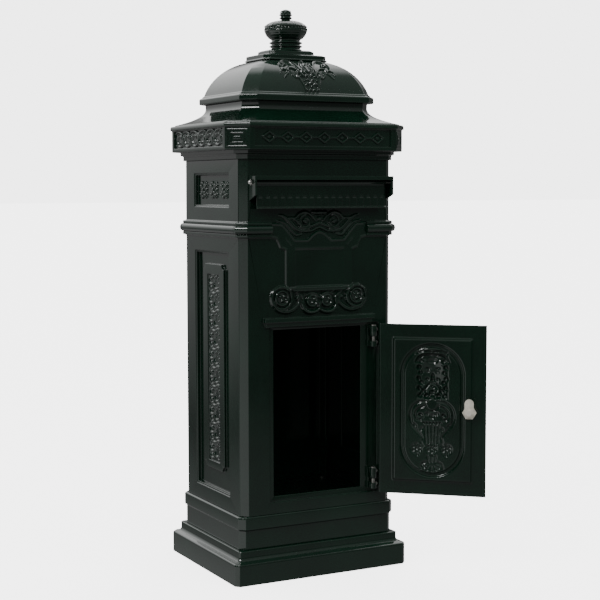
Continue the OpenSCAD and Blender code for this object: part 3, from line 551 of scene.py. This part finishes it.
def draw_cartouche(r):
    """Frame with an arched top rail, shoulders, crest scrolls and the row of volutes below."""
    uu, vv = r.grid()
    au = np.abs(uu)
    top = np.interp(au, [0, 5, 14, 24, 50, 62, 75, 96, 101], [621, 620.5, 615, 606, 607, 622, 635, 636, 636])
    low = np.interp(au, [0, 67.4, 67.6, 78, 81, 86, 98, 101], [515, 515, 588, 592, 600, 608, 611, 611])
    inside = np.minimum(np.minimum(top - vv, vv - low), 98 - au)
    r.step(inside, 2.4, 1.4)
    r.step(rect_inside(uu, vv, -48.5, 48.5, 523, 590), -1.5, 2.6)
    steps = np.linspace(-96, 96, 97)
    rail = np.interp(np.abs(steps), [0, 5, 14, 24, 50, 62, 75, 96],
                     [619.6, 619, 613.5, 604.5, 605.5, 620, 633.5, 634.5])
    r.stroke(np.stack([steps, rail], 1), 1.5, 1.5)
    for side in (-1, 1):
        def at(points):
            return [(side * x, z) for x, z in points]
        r.stroke(at([(66, 524), (66, 589), (77, 593.5), (84.5, 609.5), (97, 612.5)]), 1.8, 0.9)
        r.stroke(at([(49.5, 523), (49.5, 590.5)]), 1.5, 0.8)
        r.stroke(at([(55, 523), (55, 596), (67, 609)]), 1.0, 0.8)
    r.stroke([(-49.5, 590.8), (49.5, 590.8)], 1.5, 0.8)
    r.stroke([(-58, 519.5), (58, 519.5)], 3.0, 2.6)
    r.stroke([(-52, 515.5), (52, 515.5)], 1.6, 3.8)

    # crest scrolls
    for side in (-1, 1):
        def at(points):
            return [(side * x, z) for x, z in points]
        volute(r, side * 28.5, 638, 14.5, 4.6, -side)
        r.boss(side * 31, 640, 4.4, 3.4, 6.2)
        r.boss(side * 22, 633, 3.8, 3.0, 5.4)
        r.curve(at([(22, 625), (36, 622), (50, 629), (62, 641), (72, 648), (80, 650)]),
                 (2.6, 4.0, 1.4), (4.2, 3.8, 1.8), "grooved")
        r.curve(at([(70, 645), (58, 645), (48, 645), (40, 652), (28, 655), (15, 648), (8, 640)]),
                 (1.3, 2.6, 2.2), (2.0, 4.4, 4.0), "grooved")
        r.curve(at([(84, 640), (70, 636), (58, 626), (47, 615), (36, 616)]), (1.2, 2.6, 1.6), 2.6, "grooved")
        r.curve(at([(40, 634), (46, 640), (52, 642)]), (2.4, 1.0), 3.0)
        r.boss(side * 10, 654, 6.5, 3.4, 5.0, side * 10)
    r.curve([(-38, 628), (-26, 627), (-13, 631), (0, 635), (13, 631), (26, 627), (38, 628)],
             (2.0, 3.4, 2.0), 4.4, "grooved")
    r.curve([(-30, 620), (-16, 622), (0, 628), (16, 622), (30, 620)], (1.4, 2.6, 1.4), 3.4)
    r.boss(0, 654, 9, 3.8, 6.0)
    r.boss(0, 643, 5.0, 4.0, 4.6)

    # row of volutes below, the outer pair first
    for side in (-1, 1):
        def at(points):
            return [(side * x, z) for x, z in points]
        c = side * 75.5
        coil = spiral(c, 503.5, 20, 19, 40 if side > 0 else 140, 0.9, -side)
        r.stroke(coil, (2.6, 3.6), (4.6, 6.4), "grooved")
        r.ring(c, 503.5, 12.5, 2.4, 5.6)
        r.boss(c, 503.5, 10.5, 10.5, 3.6)
        for dx, dz, size in ((-5, 3.4, 3.4), (4, 3.4, 3.4), (0, -4, 3.4), (7.5, -2.5, 2.4)):
            r.boss(c + dx, 503.5 + dz, size, size * 0.85, 7.4)
        r.curve(at([(90, 517), (78, 523), (66, 520), (58, 512)]), (2.0, 3.4, 2.0), (4.0, 6.0, 3.6), "grooved")
        r.curve(at([(92, 496), (84, 484), (72, 479.5), (60, 480), (48, 486), (40, 496), (42, 508),
                    (48, 516)]),
                 (3.4, 3.8, 2.0), (5.2, 4.6, 3.0), "grooved")
        c = side * 15
        r.curve(at([(40, 510), (33, 502), (34, 490), (27, 479), (14, 476.5), (2, 481), (-1, 492)]),
                 (2.0, 3.6, 2.4), (3.2, 6.4, 4.8), "grooved")
        r.ring(c, 497, 9.5, 2.3, 5.4)
        r.boss(c, 497, 8, 8, 3.4)
        for dx, dz in ((-4, 4), (4, 3.4), (0, -3.4)):
            r.boss(c + dx, 497 + dz, 3.2, 2.6, 7.0)
        r.curve(at([(28, 507), (18, 511), (8, 509), (1, 503)]), (1.8, 2.8, 1.8), (3.4, 5.2, 3.4), "grooved")
        r.boss(side * 45, 503, 3.0, 4.4, 5.4, side * 35)
        r.boss(side * 30, 514, 6.0, 2.4, 3.4, side * 12)
        r.boss(side * 55, 508, 3.0, 5.0, 3.6, -side * 20)


# The CAD dome's front face at an angle phi above level: DOME_Z + DOME_R sin phi high, and
# DOME_Y_SCALE (DOME_IN + DOME_R cos phi) - DOME_Y_SHIFT out from the middle.
DOME_Z, DOME_R, DOME_IN = 841.6, 88.5, 44.3
DOME_Y_SCALE, DOME_Y_SHIFT = 0.9, 11.3


def dome_v(z):
    """Distance up the dome's front face, measured along it, at a height."""
    return DOME_R * math.asin((z - DOME_Z) / DOME_R)


def dome_at(sign):
    """Front (1) or back (-1) face of the dome. v is the distance along the face."""
    def place(u, v, h):
        phi = v / DOME_R
        y = DOME_Y_SCALE * (DOME_IN + DOME_R * np.cos(phi)) - DOME_Y_SHIFT
        ny, nz = np.cos(phi), DOME_Y_SCALE * np.sin(phi)
        size = np.hypot(ny, nz)
        return sign * u, -sign * (y + h * ny / size), DOME_Z + DOME_R * np.sin(phi) + h * nz / size
    return place


def draw_swag(r):
    """Shell loops, side scrolls and a hanging drop."""
    for side in (-1, 1):
        def at(points):
            return [(side * x, dome_v(z)) for x, z in points]
        r.curve(at([(1, 904), (2, 914), (8, 920), (13, 914), (11, 905), (5, 900)]), 2.0, 3.4, "grooved")
        r.curve(at([(4, 905), (6, 911), (9, 913), (9.5, 908)]), 1.4, 2.6)
        r.curve(at([(13, 898), (19, 905), (27, 910), (36, 910), (40, 905)]), (2.8, 2.2), 3.6, "grooved")
        r.curve(at([(15, 908), (18, 917), (24, 923), (33, 925), (43, 923), (49, 917), (48, 909),
                    (42, 906)]), (2.4, 2.8, 1.6), 3.6, "grooved")
        r.curve(at([(34, 914), (38, 919), (43, 917)]), 1.6, 2.8)
        r.curve(at([(40, 903), (45, 898), (50, 893)]), (2.4, 1.2), 3.0, "leaf")
        r.curve(at([(44, 908), (52, 906), (56, 900)]), (2.2, 1.2), 2.8, "leaf")
        r.curve(at([(33, 905), (33, 899), (28, 893)]), (2.2, 1.2), 2.6, "leaf")
        r.curve(at([(22, 903), (24, 897), (20, 891), (17, 884), (14, 876), (13, 870)]),
                 (2.4, 2.0, 1.2), (3.4, 2.4, 1.2), "grooved")
        for x, z, size in ((5, 897, 2.6), (12, 896, 2.4), (19, 896, 2.6), (25, 893, 2.2), (5, 890, 2.2),
                           (12, 888, 2.0)):
            r.boss(side * x, dome_v(z), size, size, 3.6)
        r.boss(side * 8.5, dome_v(882), 3.2, 4.6, 3.4, side * 18)
        r.boss(side * 12, dome_v(871.5), 2.2, 2.8, 2.4)
        r.boss(side * 4.2, dome_v(871.5), 2.4, 3.0, 2.6)
        r.boss(side * 41, dome_v(916), 3.0, 3.0, 4.0)
    r.boss(0, dome_v(924), 5.0, 4.0, 3.6)
    r.boss(0, dome_v(885), 2.4, 4.0, 3.2)
    r.boss(0, dome_v(878), 2.0, 2.6, 2.8)


DOOR_HALF, DOOR_LOW, DOOR_TOP = 97.0, 140.5, 451.5
OVAL_Z = 296.0


def draw_door(r):
    """Cast door, u running from the hinge edge (-) to the lock edge (+) and heights toward the outside."""
    uu, vv = r.grid()
    r.step(rect_inside(uu, vv, -71, 71, 167, 426), -6.0, 3.2)
    oval = stadium_inside(uu, vv, 58.3, 121.5, OVAL_Z)
    ring = np.clip(1 - ((oval - 3.6) / 4.2) ** 2, 0, 1)
    r.base += 4.6 * np.sqrt(ring)
    r.base -= 1.3 * np.exp(-((oval - 3.6) / 1.1) ** 2)

    def both(points, width, height, form="grooved"):
        for side in (-1, 1):
            r.curve([(side * x, z) for x, z in points], width, height, form)

    # a generic mask on a raised ground: curls, eyes, cheeks, nose, moustache and beard
    r.step(rect_inside(uu, vv, -27, 27, 318, 400), 3.0, 5.0)
    r.boss(0, 360, 22, 34, 6.0)
    r.boss(0, 392, 26, 9, 5.0)
    for side in (-1, 1):
        for x, z, ru, rv, h in (
                (21, 385, 6, 5, 6.4), (24, 374, 5, 5, 6.0), (21, 364, 5, 4.5, 6.8),
                (25, 354, 4.6, 5, 6.2), (20, 346, 5.6, 5, 7.6), (24, 336, 4.6, 5.4, 6.4),
                (17, 330, 5.0, 6, 7.4), (22, 323, 4.8, 4.6, 6.0), (11, 322, 5.0, 6, 6.6)):
            r.boss(side * x, z, ru, rv, h, side * 25)
        r.boss(side * 8.5, 366, 5.0, 3.2, 8.2, -side * 12)
        r.boss(side * 8.5, 371.5, 7.0, 2.4, 8.8, side * 14)
        r.boss(side * 9.5, 352, 5.2, 4.4, 8.8)
        r.curve([(0, 345), (side * 6, 344), (side * 12, 338), (side * 15, 331)], (2.4, 1.6), 8.6)
        r.curve([(side * 4, 396), (side * 14, 397), (side * 24, 392), (side * 29, 384)], (2.4, 3.0), 6.4)
        r.curve([(side * 3, 403), (side * 16, 404), (side * 27, 400)], (2.0, 2.6), 4.6)
        r.stroke([(side * 4, 330), (side * 5, 318)], (2.2, 1.6), 7.0)
    r.boss(0, 357, 4.0, 9.0, 10.6)
    r.boss(0, 350, 6.6, 4.2, 10.8)
    r.boss(0, 385, 12, 7, 7.6)
    r.boss(0, 339, 5.6, 2.6, 8.8)
    r.boss(0, 327, 6.0, 7.0, 8.2)

    # below the mask: a garland, scrolls, beads and flutes, then three rosettes and a shell
    garland = np.linspace(0.1, math.pi - 0.1, 17)
    r.stroke([(12 * math.cos(a), 307 - 12 * math.sin(a)) for a in garland], 1.8, 3.2)
    both([(10, 313), (24, 311), (34, 303), (39, 290), (38, 276), (34, 267), (24, 256), (17, 246)],
         (2.0, 3.4, 1.6), (2.6, 3.8, 1.8))
    both([(13, 304), (23, 300), (30, 291), (28, 281), (20, 279), (17, 286)], (1.6, 2.6, 1.6), 3.2)
    both([(17, 246), (20, 238), (15, 230)], (1.6, 1.2), 2.2)
    for side in (-1, 1):
        r.boss(side * 21, 288, 4.0, 3.4, 4.4)
        r.boss(side * 19, 262, 3.0, 5.0, 2.6, side * 30)
        r.boss(side * 8, 290, 5.0, 4.0, 3.0)
        r.boss(side * 31, 269, 5.4, 2.2, 3.6, side * 45)
    r.boss(0, 285, 6.0, 6.0, 3.2)
    for x in (-15, -9, -3, 3, 9, 15):
        r.boss(x, 273, 2.5, 2.5, 3.6)
    for x in (-13, -6.5, 0, 6.5, 13):
        r.stroke([(x, 268), (x * 0.8, 236)], (2.2, 1.6), (2.8, 2.0))
    for x, z in ((-28, 226), (0, 227), (27, 226)):
        r.boss(x, z, 3.4, 3.4, 4.2)
        for a in range(6):
            t = math.radians(60 * a + 30)
            r.boss(x + 6.4 * math.cos(t), z + 6.0 * math.sin(t), 3.5, 2.8, 3.4, 60 * a + 30)
        r.ring(x, z, 9.6, 1.0, 1.6)
    for x in (-26, 0, 26):
        r.boss(x, 214.5, 3.0, 2.2, 2.8)
    for x in (-5.5, 0, 5.5):
        r.stroke([(x * 1.4, 213), (x, 201)], (1.6, 2.2), 2.4)
    for a in range(-3, 4):
        t = math.radians(a * 27)
        r.stroke([(0, 201), (17 * math.sin(t), 201 - 15 * math.cos(t))], (1.5, 2.7), (1.6, 3.0))
    both([(6, 203), (13, 202), (19, 196), (21, 189)], (1.8, 1.2), 2.4)


def draw_flap(r):
    """Plain upper part, a row of flutes with small arches, and a lip."""
    uu, vv = r.grid()
    ribs = 18
    pitch = (r.u[-1] - r.u[0]) / ribs
    phase = (uu - r.u[0]) / pitch % 1 - 0.5
    band = np.clip(np.minimum(vv - 664, 681 - vv) / 0.9, 0, 1)
    r.base += 1.1 * band * np.clip((0.36 - np.abs(phase)) * 7, 0, 1)
    for k in range(ribs):
        c = r.u[0] + pitch * (k + 0.5)
        arch = [(c + 5.4 * math.cos(a), 681.2 + 3.2 * math.sin(a)) for a in np.linspace(0, math.pi, 9)]
        r.stroke(arch, 1.3, 0.35)
    r.stroke([(r.u[0], 662.6), (r.u[-1], 662.6)], 1.8, 3.0)
    r.stroke([(r.u[0] + 2, 704), (r.u[-1] - 2, 704)], 1.0, 0.7)


# ---------------------------------------------------------------- pillar

BODY = "pillar"
FASCIA_Z = 786  # middle of the ornament round the cornice

# castings that keep their CAD shape: node, edge radius and whether narrow faces limit it
for node, width, clamp in (
        ("base_plinth", 1.6, False), ("base_collar", 1.1, False), ("front_panel", 1.0, False),
        ("back_panel", 1.0, False), ("left_panel", 1.0, False), ("right_panel", 1.0, False),
        ("cornice", 0.9, False), ("roof_neck", 0.9, True), ("dome_roof", 1.6, True),
        ("finial_base", 0.7, False), ("letter_hood", 0.9, True),
        ("upper_hinge_bracket", 0.5, True), ("lower_hinge_bracket", 0.5, True)):
    soften_node(node, BODY, PAINT, width, clamp=clamp)

for sign, side in ((-1, "left"), (1, "right")):
    relief = Relief(-108, 108, 770.8, 801.2, 0.8)
    draw_guilloche(relief, FASCIA_Z)
    node = side + "_guilloche"
    relief_piece(node + "_cast", relief, side_at(inner_face(node, 0), sign), 0.6, BODY, [node], keep=0.25)

    relief = Relief(-26, 26, 196, 542, 0.9)
    draw_strip(relief, 198, 541, 10)
    node = side + "_scroll_strip"
    relief_piece(side + "_strip_cast", relief, side_at(inner_face(node, 0), sign), 0.6, BODY, [node],
                 keep=0.22)

    relief = Relief(-62, 62, 673, 716, 0.8)
    for c in (-45, 0, 45):
        draw_knot(relief, c, 694)
    node = side + "_knots"
    relief_piece(node + "_cast", relief, side_at(inner_face(node, 0), sign), 0.6, BODY, [node], keep=0.3)

for place, side in ((front_at, "front"), (back_at, "back")):
    relief = Relief(-129, 129, 774.5, 797.5, 0.8)
    draw_fret(relief, 126.5, FASCIA_Z)
    node = side + "_fret"
    relief_piece(node + "_cast", relief, place(inner_face(node, 1)), 0.6, BODY, [node], keep=0.25, blur=0.35)

for sign, side in ((1, "front"), (-1, "back")):
    relief = Relief(-59, 59, dome_v(866), dome_v(928.4), 0.75)
    draw_swag(relief)
    relief_piece(side + "_swag_cast", relief, dome_at(sign), 0.9, BODY, [side + "_swag"], keep=0.3)

CARTOUCHE_Y = 128.5  # the face of the front panel that carries it
relief = Relief(-101, 101, 471, 661, 0.95)
draw_cartouche(relief)
relief_piece("cartouche_cast", relief, front_at(CARTOUCHE_Y), 1.0, BODY, ["front_cartouche"], keep=0.25)

# nested rectangular frames on the faces that cut off the cornice's four corners
CORNER_CUT = 16.3  # how far the middle of a cut is in from the corner, along X and along Y
CORNER_X, CORNER_Y = 179.1 - CORNER_CUT, 151.2 - CORNER_CUT
for k, (sx, sy) in enumerate(((-1, -1), (1, -1), (1, 1), (-1, 1))):
    def corner_at(u, v, h, sx=sx, sy=sy):
        s = math.sqrt(0.5)
        return sx * (CORNER_X + (u + h) * s), sy * (CORNER_Y + (h - u) * s), v
    relief = Relief(-22, 22, 766, 801.6, 0.6)
    for half, z0, z1 in ((18.5, 769.5, 798.5), (11.5, 776.0, 792.0)):
        relief.stroke([(-half, z0), (half, z0), (half, z1), (-half, z1), (-half, z0)], 1.5, 0.75, "flat")
    relief.stroke([(-5, 784), (5, 784)], 3.2, 0.9, "flat")
    relief_piece("corner_frame_%d" % (k + 1), relief, corner_at, 0.6, BODY, keep=0.25, blur=0.3)

# finial
CROWN_MAX = node_box("finial_crown")[1][0]
CROWN_BEADS = 40
PETAL_DEGREES = 45
PETAL_LOW, PETAL_RISE = 992.0, 12.0  # where the petals start and how high they arch
BUD_BEADS, BUD_LOBES = 16, 6


def ridge(z, middle, width):
    """A rounded band round the body: 1 at its middle height, falling to nothing over its width."""
    return np.exp(-((z - middle) / width) ** 2)


def crown_radius(rr, zz, aa):
    """Radius of the crown: fine ribs below, a beaded belt between two lines, and eight arched petals."""
    out = rr + 0.9 * ridge(zz, 988.2, 1.9) * np.cos(CROWN_BEADS * aa)
    for z in (984.6, 992.0):
        out += 0.5 * ridge(zz, z, 0.7)
    up = np.clip((zz - PETAL_LOW) / PETAL_RISE, 0, 1)
    a = (np.degrees(aa) % PETAL_DEGREES - PETAL_DEGREES / 2) / (PETAL_DEGREES / 2)
    half_arc = np.radians(PETAL_DEGREES / 2) * rr
    edge = 0.93 * np.sqrt(np.clip(1 - up ** 2.2, 0, 1))
    petal = (zz > 992.4) & (zz < 1003.8)
    bead = 0.65 + 0.35 * np.cos(2 * math.pi * (zz + np.abs(a) * 9) / 2.6)
    out += petal * 1.6 * ridge((np.abs(a) - edge) * half_arc, 0, 1.0) * bead
    out += petal * 1.8 * np.sqrt(np.clip(1 - (a / np.maximum(edge, 0.05)) ** 2, 0, 1)) * (1 - up)
    out += petal * 0.9 * ridge(a * half_arc, 0, 1.1)
    low = np.clip((982 - zz) / 10, 0, 1) * (zz > 970.5)
    out += low * 0.35 * np.cos(2 * math.pi * zz / 4.4)
    return np.minimum(out, CROWN_MAX)


def bud_radius(rr, zz, aa):
    """Radius of the bud: a beaded ring and two rows of lobes, the upper ones between the lower."""
    tip = np.clip((zz - 1016.0) / 1.5, 0, 1) * np.clip((1024.8 - zz) / 1.5, 0, 1)
    rows = ridge(zz, 1019.0, 1.6) + ridge(zz, 1022.6, 1.3)
    lobes = np.cos(BUD_LOBES * aa + (zz > 1021) * math.pi)
    return rr + 0.5 * ridge(zz, 1014.6, 1.3) * np.cos(BUD_BEADS * aa) + 0.9 * tip * rows * lobes


def outline(heights, known_z, known_r):
    """Radius and height of a turned outline at many heights, from a few known ones."""
    return np.stack([np.interp(heights, known_z, known_r), heights], 1)


crown_foot = [
    (30.5, 949), (30.5, 950.2), (28.6, 951.6), (26.6, 953.2), (26.2, 955.2), (28.6, 955.6), (30.2, 956.5),
    (30.2, 957.6), (28.8, 958.6), (26.6, 959.2), (26.6, 961.4), (28.8, 962.2), (30.3, 963.1), (30.3, 964.3),
    (28.8, 965.2), (26.4, 965.9), (26.2, 968.4), (27.6, 970)]
crown_cup = outline(np.linspace(970.4, 1004.2, 84),
                    [970, 973, 977, 981, 985, 988, 991, 994, 997, 1000, 1002, 1003.5, 1004.5],
                    [28.0, 32.2, 35.8, 38.0, 39.2, 39.3, 38.6, 37.2, 34.4, 29.4, 24.4, 17.5, 10])
verts, faces = lathe(np.vstack([crown_foot, crown_cup, [(7.0, 1004.5)]]), 240, crown_radius)
make_piece("finial_crown_cast", verts, faces, PAINT, BODY, ["finial_crown"])

bud = outline(np.linspace(1004.5, 1024.9, 52),
              [1004.5, 1006, 1007.6, 1008.6, 1009.6, 1010.8, 1012.6, 1013.8, 1015, 1016.2, 1018, 1020.5,
               1022.5, 1024, 1024.9],
              [8.4, 8.2, 10.2, 11.8, 11.8, 9.8, 9.6, 11.4, 11.7, 10.3, 10.6, 10.0, 8.2, 5.2, 1.8])
verts, faces = lathe(bud, 96, bud_radius)
make_piece("finial_bud_cast", verts, faces, PAINT, BODY, ["finial_bud"])

# ---------------------------------------------------------------- flap and door

def circle(around):
    """Cosine and sine at even steps round a circle."""
    return [(math.cos(a), math.sin(a)) for a in np.linspace(0, 2 * math.pi, around, endpoint=False)]


def ring_faces(rings, around, closed):
    """Faces between rings of points, back to the first ring where closed."""
    return [(i * around + j, i * around + (j + 1) % around, (i + 1) % rings * around + (j + 1) % around,
             (i + 1) % rings * around + j)
            for i in range(rings if closed else rings - 1) for j in range(around)]


FLAP_HALF = 129.8
FLAP_FACE_Y = 142  # plane of the shut flap from which its relief rises
relief = Relief(-FLAP_HALF, FLAP_HALF, 661, 706, 0.9)
draw_flap(relief)
relief_piece("letter_flap_cast", relief, front_at(FLAP_FACE_Y), 3.0, "flap", ["letter_flap"], blur=0.4)

# the flap's barrel on its pin, its ends rounded off
BARREL_SIDES = 24
verts = [(x, FLAP_AXIS.y + r * c, FLAP_AXIS.z + r * s)
         for x, r in ((-FLAP_HALF, 3.3), (-FLAP_HALF + 0.6, 4.0), (FLAP_HALF - 0.6, 4.0), (FLAP_HALF, 3.3))
         for c, s in circle(BARREL_SIDES)]
caps = [tuple(range(BARREL_SIDES)), tuple(range(4 * BARREL_SIDES - 1, 3 * BARREL_SIDES - 1, -1))]
faces = ring_faces(4, BARREL_SIDES, False) + caps
make_piece("letter_flap_barrel", verts, faces, PAINT, "flap", ["letter_flap"])

DOOR_FACE_Y = 129.0  # plane of the shut door from which its relief rises and sinks
relief = Relief(-DOOR_HALF, DOOR_HALF, DOOR_LOW, DOOR_TOP, 1.15)
draw_door(relief)


def door_at(u, v, h):
    """Places the door's relief on the shut door, then opens it."""
    p = door_open(np.stack([-u, -(DOOR_FACE_Y + h), v], -1).reshape(-1, 3))
    return tuple(p[:, k].reshape(u.shape) for k in range(3))


relief_piece("door_plate_cast", relief, door_at, 5.0, "door_leaf", ["door"], shell=True)

# hinge knuckles: rings of radius and height, round the outside and back through the bore
KNUCKLE_SIDES = 32
for place, z0 in (("low", 164.5), ("high", 427.5)):
    section = ((5.5, z0), (6.0, z0 + 0.5), (6.0, z0 + 16.5), (5.5, z0 + 17), (3.1, z0 + 17), (3.1, z0))
    verts = [(HINGE.x + r * c, HINGE.y + r * s, z) for r, z in section for c, s in circle(KNUCKLE_SIDES)]
    faces = ring_faces(len(section), KNUCKLE_SIDES, True)
    make_piece("door_knuckle_" + place, door_open(verts), faces, PAINT, "door_leaf", ["door"])

# lock, nuts and pins
for node, body, width, material, slot in (
        ("lock_barrel", "door_leaf", 0.3, NICKEL, "nickel"), ("lock_nut", "door_leaf", 0.4, NICKEL, "nickel"),
        ("lock_cam", "cam", 0.3, NICKEL, "zinc_steel"), ("lock_cam_screw", "cam", 0.2, NICKEL, "zinc_steel"),
        ("lock_plug", "cam", 0.2, NICKEL, "nickel"), ("flap_pin_nuts", BODY, 0.3, STAINLESS, "stainless"),
        ("upper_hinge_pin", BODY, 0.3, ZINC, "zinc_steel"),
        ("lower_hinge_pin", BODY, 0.3, ZINC, "zinc_steel"),
        ("flap_pin", BODY, 0.3, STAINLESS, "stainless"), ("floor_plate", BODY, 0.4, SHEET, "sheet_paint"),
        ("upper_corner_brackets", BODY, 0.4, ZINC, "zinc_steel"),
        ("lower_corner_brackets", BODY, 0.4, ZINC, "zinc_steel")):
    soften_node(node, body, material, width)

# small hardware keeps its CAD mesh
for node in ("finial_stud", "finial_washer", "finial_nut", "base_screws", "floor_screws", "panel_screws",
             "cornice_screws", "neck_screws", "roof_screws", "hinge_screws", "hood_screws"):
    data = frame["nodes"][node].data
    data.materials.clear()
    data.materials.append(ZINC)

# ---------------------------------------------------------------- studio

FLOOR = 60.0  # half the floor's width in metres: far enough for its edge to meet the backdrop unseen
FLOOR_GLOW = 3.6
BACKDROP = 4.2  # radiance the camera sees behind the object
LAMP_TARGET = (0, 0, 0.7)

CAMERA_AT = (-1.18774, -2.31921, 0.69825)
CAMERA_YAW, CAMERA_PITCH, CAMERA_ROLL = -27.68, 85.3953, -0.0887  # degrees about Z, X and its own line
FOCAL_MM, SENSOR_MM = 83.77, 36

forward = Vector((0.4645, 0.8856, 0))  # along the floor, the way the camera looks
across = Vector((0.8856, -0.4645, 0))  # to the camera's right


def add_stage(name, data):
    """A stage object: seen in the render, no part of the mailbox."""
    staged = bpy.data.objects.new(name, data)
    bpy.context.scene.collection.objects.link(staged)
    return staged


def area_light(name, position, size, watts):
    """A rectangular lamp turned toward the mailbox. Its size is width and height in metres."""
    light = bpy.data.lights.new(name, "AREA")
    light.shape = "RECTANGLE"
    light.size, light.size_y = size
    light.energy = watts
    lamp = add_stage(name, light)
    lamp.location = position
    lamp.rotation_euler = (Vector(LAMP_TARGET) - Vector(position)).to_track_quat("-Z", "Y").to_euler()
    return lamp


def studio_point(ahead, right, up):
    """A place given by its distances along the camera's line, to its right and up."""
    return tuple(forward * ahead + across * right + Vector((0, 0, up)))


# a glowing floor, kept out of reflections and bounced light so that the surroundings below decide those
floor_material, tree, shader, add = new_material("studio_floor")
coords = add("ShaderNodeTexCoord").outputs["Object"]
tone = ramp(add, noise(add, coords, 2.0), (0.3, (0.86, 0.86, 0.86)), (0.7, (0.9, 0.9, 0.9)))
tree.links.new(tone, shader.inputs["Base Color"])
shader.inputs["Roughness"].default_value = 0.6
shader.inputs["Emission Color"].default_value = (1, 1, 1, 1)
shader.inputs["Emission Strength"].default_value = FLOOR_GLOW
floor_mesh = bpy.data.meshes.new("floor")
corners = [(x, y, 0) for x, y in ((-FLOOR, -FLOOR), (FLOOR, -FLOOR), (FLOOR, FLOOR), (-FLOOR, FLOOR))]
floor_mesh.from_pydata(corners, [], [(0, 1, 2, 3)])
floor_mesh.materials.append(floor_material)
floor = add_stage("floor", floor_mesh)
floor.location.z = -0.0005
floor.visible_glossy = False
floor.visible_diffuse = False

area_light("key", studio_point(-1.7, -1.7, 2.5), (0.7, 0.7), 26)
area_light("edge", studio_point(-1.1, 2.3, 1.9), (0.4, 1.4), 14).visible_glossy = False
sky = bpy.data.lights.new("overhead", "SUN")
sky.energy = 2.2
sky.angle = math.radians(110)
overhead = add_stage("overhead", sky)
overhead.rotation_euler = (math.radians(8), math.radians(-12), 0)
overhead.visible_glossy = False

# Surroundings by direction, which is what the gloss paint reflects: on the camera's side a dim room with a
# pale low screen to its left, and behind the mailbox a wall that is white to the left and dark to the right
# up to a third of the way.
world = bpy.data.worlds.new("studio")
bpy.context.scene.world = world
world.use_nodes = True
tree = world.node_tree
add = node_adder(tree)
direction = add("ShaderNodeTexCoord").outputs["Generated"]
height = add("ShaderNodeSeparateXYZ", {"Vector": direction}).outputs["Z"]
height = add("ShaderNodeMapRange", {"Value": height, "From Min": -1}).outputs["Result"]


def by_height(*stops):
    """Radiance against the height of a direction, from -1 straight down to 1 straight up."""
    return ramp(add, height, *(((z + 1) / 2, (radiance,) * 3) for z, radiance in stops))


def toward(axis, low, high):
    """0 to 1 as a direction turns toward an axis."""
    dot = add("ShaderNodeVectorMath", {0: direction, 1: axis}, operation="DOT_PRODUCT").outputs["Value"]
    return add("ShaderNodeMapRange", {"Value": dot, "From Min": low, "From Max": high},
               interpolation_type="SMOOTHSTEP").outputs["Result"]


room = by_height((-1, 0.25), (-0.25, 0.21), (-0.18, 0.17), (-0.15, 0.06), (-0.05, 0.09), (0.25, 0.1),
                 (0.4, 0.24), (1, 0.32))
back = by_height((-1, 0.25), (-0.25, 0.2), (-0.1, 0.09), (0.25, 0.09), (0.42, 1.5), (1, 1.7))
wall = by_height((-1, 0.1), (-0.27, 0.32), (-0.22, 0.2), (-0.17, 0.07), (-0.08, 0.3), (0.0, 0.34),
                 (0.2, 0.9), (0.4, 1.5), (1, 1.5))
screen = by_height((-1, 0.5), (-0.25, 0.85), (-0.1, 0.62), (0.0, 0.5), (0.01, 0.04), (0.5, 0.06),
                   (0.7, 0.3), (1, 0.5))
near = mix(add, toward(-across, 0.475, 0.535), room, screen)
far = mix(add, toward(Vector((0, 0, 0.3)) - across, 0.0, 0.55), back, wall)
around = mix(add, toward(forward, 0.1, 0.4), near, far)
seen = add("ShaderNodeLightPath").outputs["Is Camera Ray"]
around = mix(add, seen, around, (BACKDROP, BACKDROP, BACKDROP))
tree.links.new(around, tree.nodes["Background"].inputs["Color"])

lens = bpy.data.cameras.new("camera")
lens.lens = FOCAL_MM
lens.sensor_width = SENSOR_MM
camera = bpy.data.objects.new("camera", lens)
camera.location = CAMERA_AT
camera.rotation_euler = (Matrix.Rotation(math.radians(CAMERA_YAW), 3, "Z")
                         @ Matrix.Rotation(math.radians(CAMERA_PITCH), 3, "X")
                         @ Matrix.Rotation(math.radians(CAMERA_ROLL), 3, "Z")).to_euler()
bpy.context.scene.collection.objects.link(camera)
bpy.context.scene.camera = camera
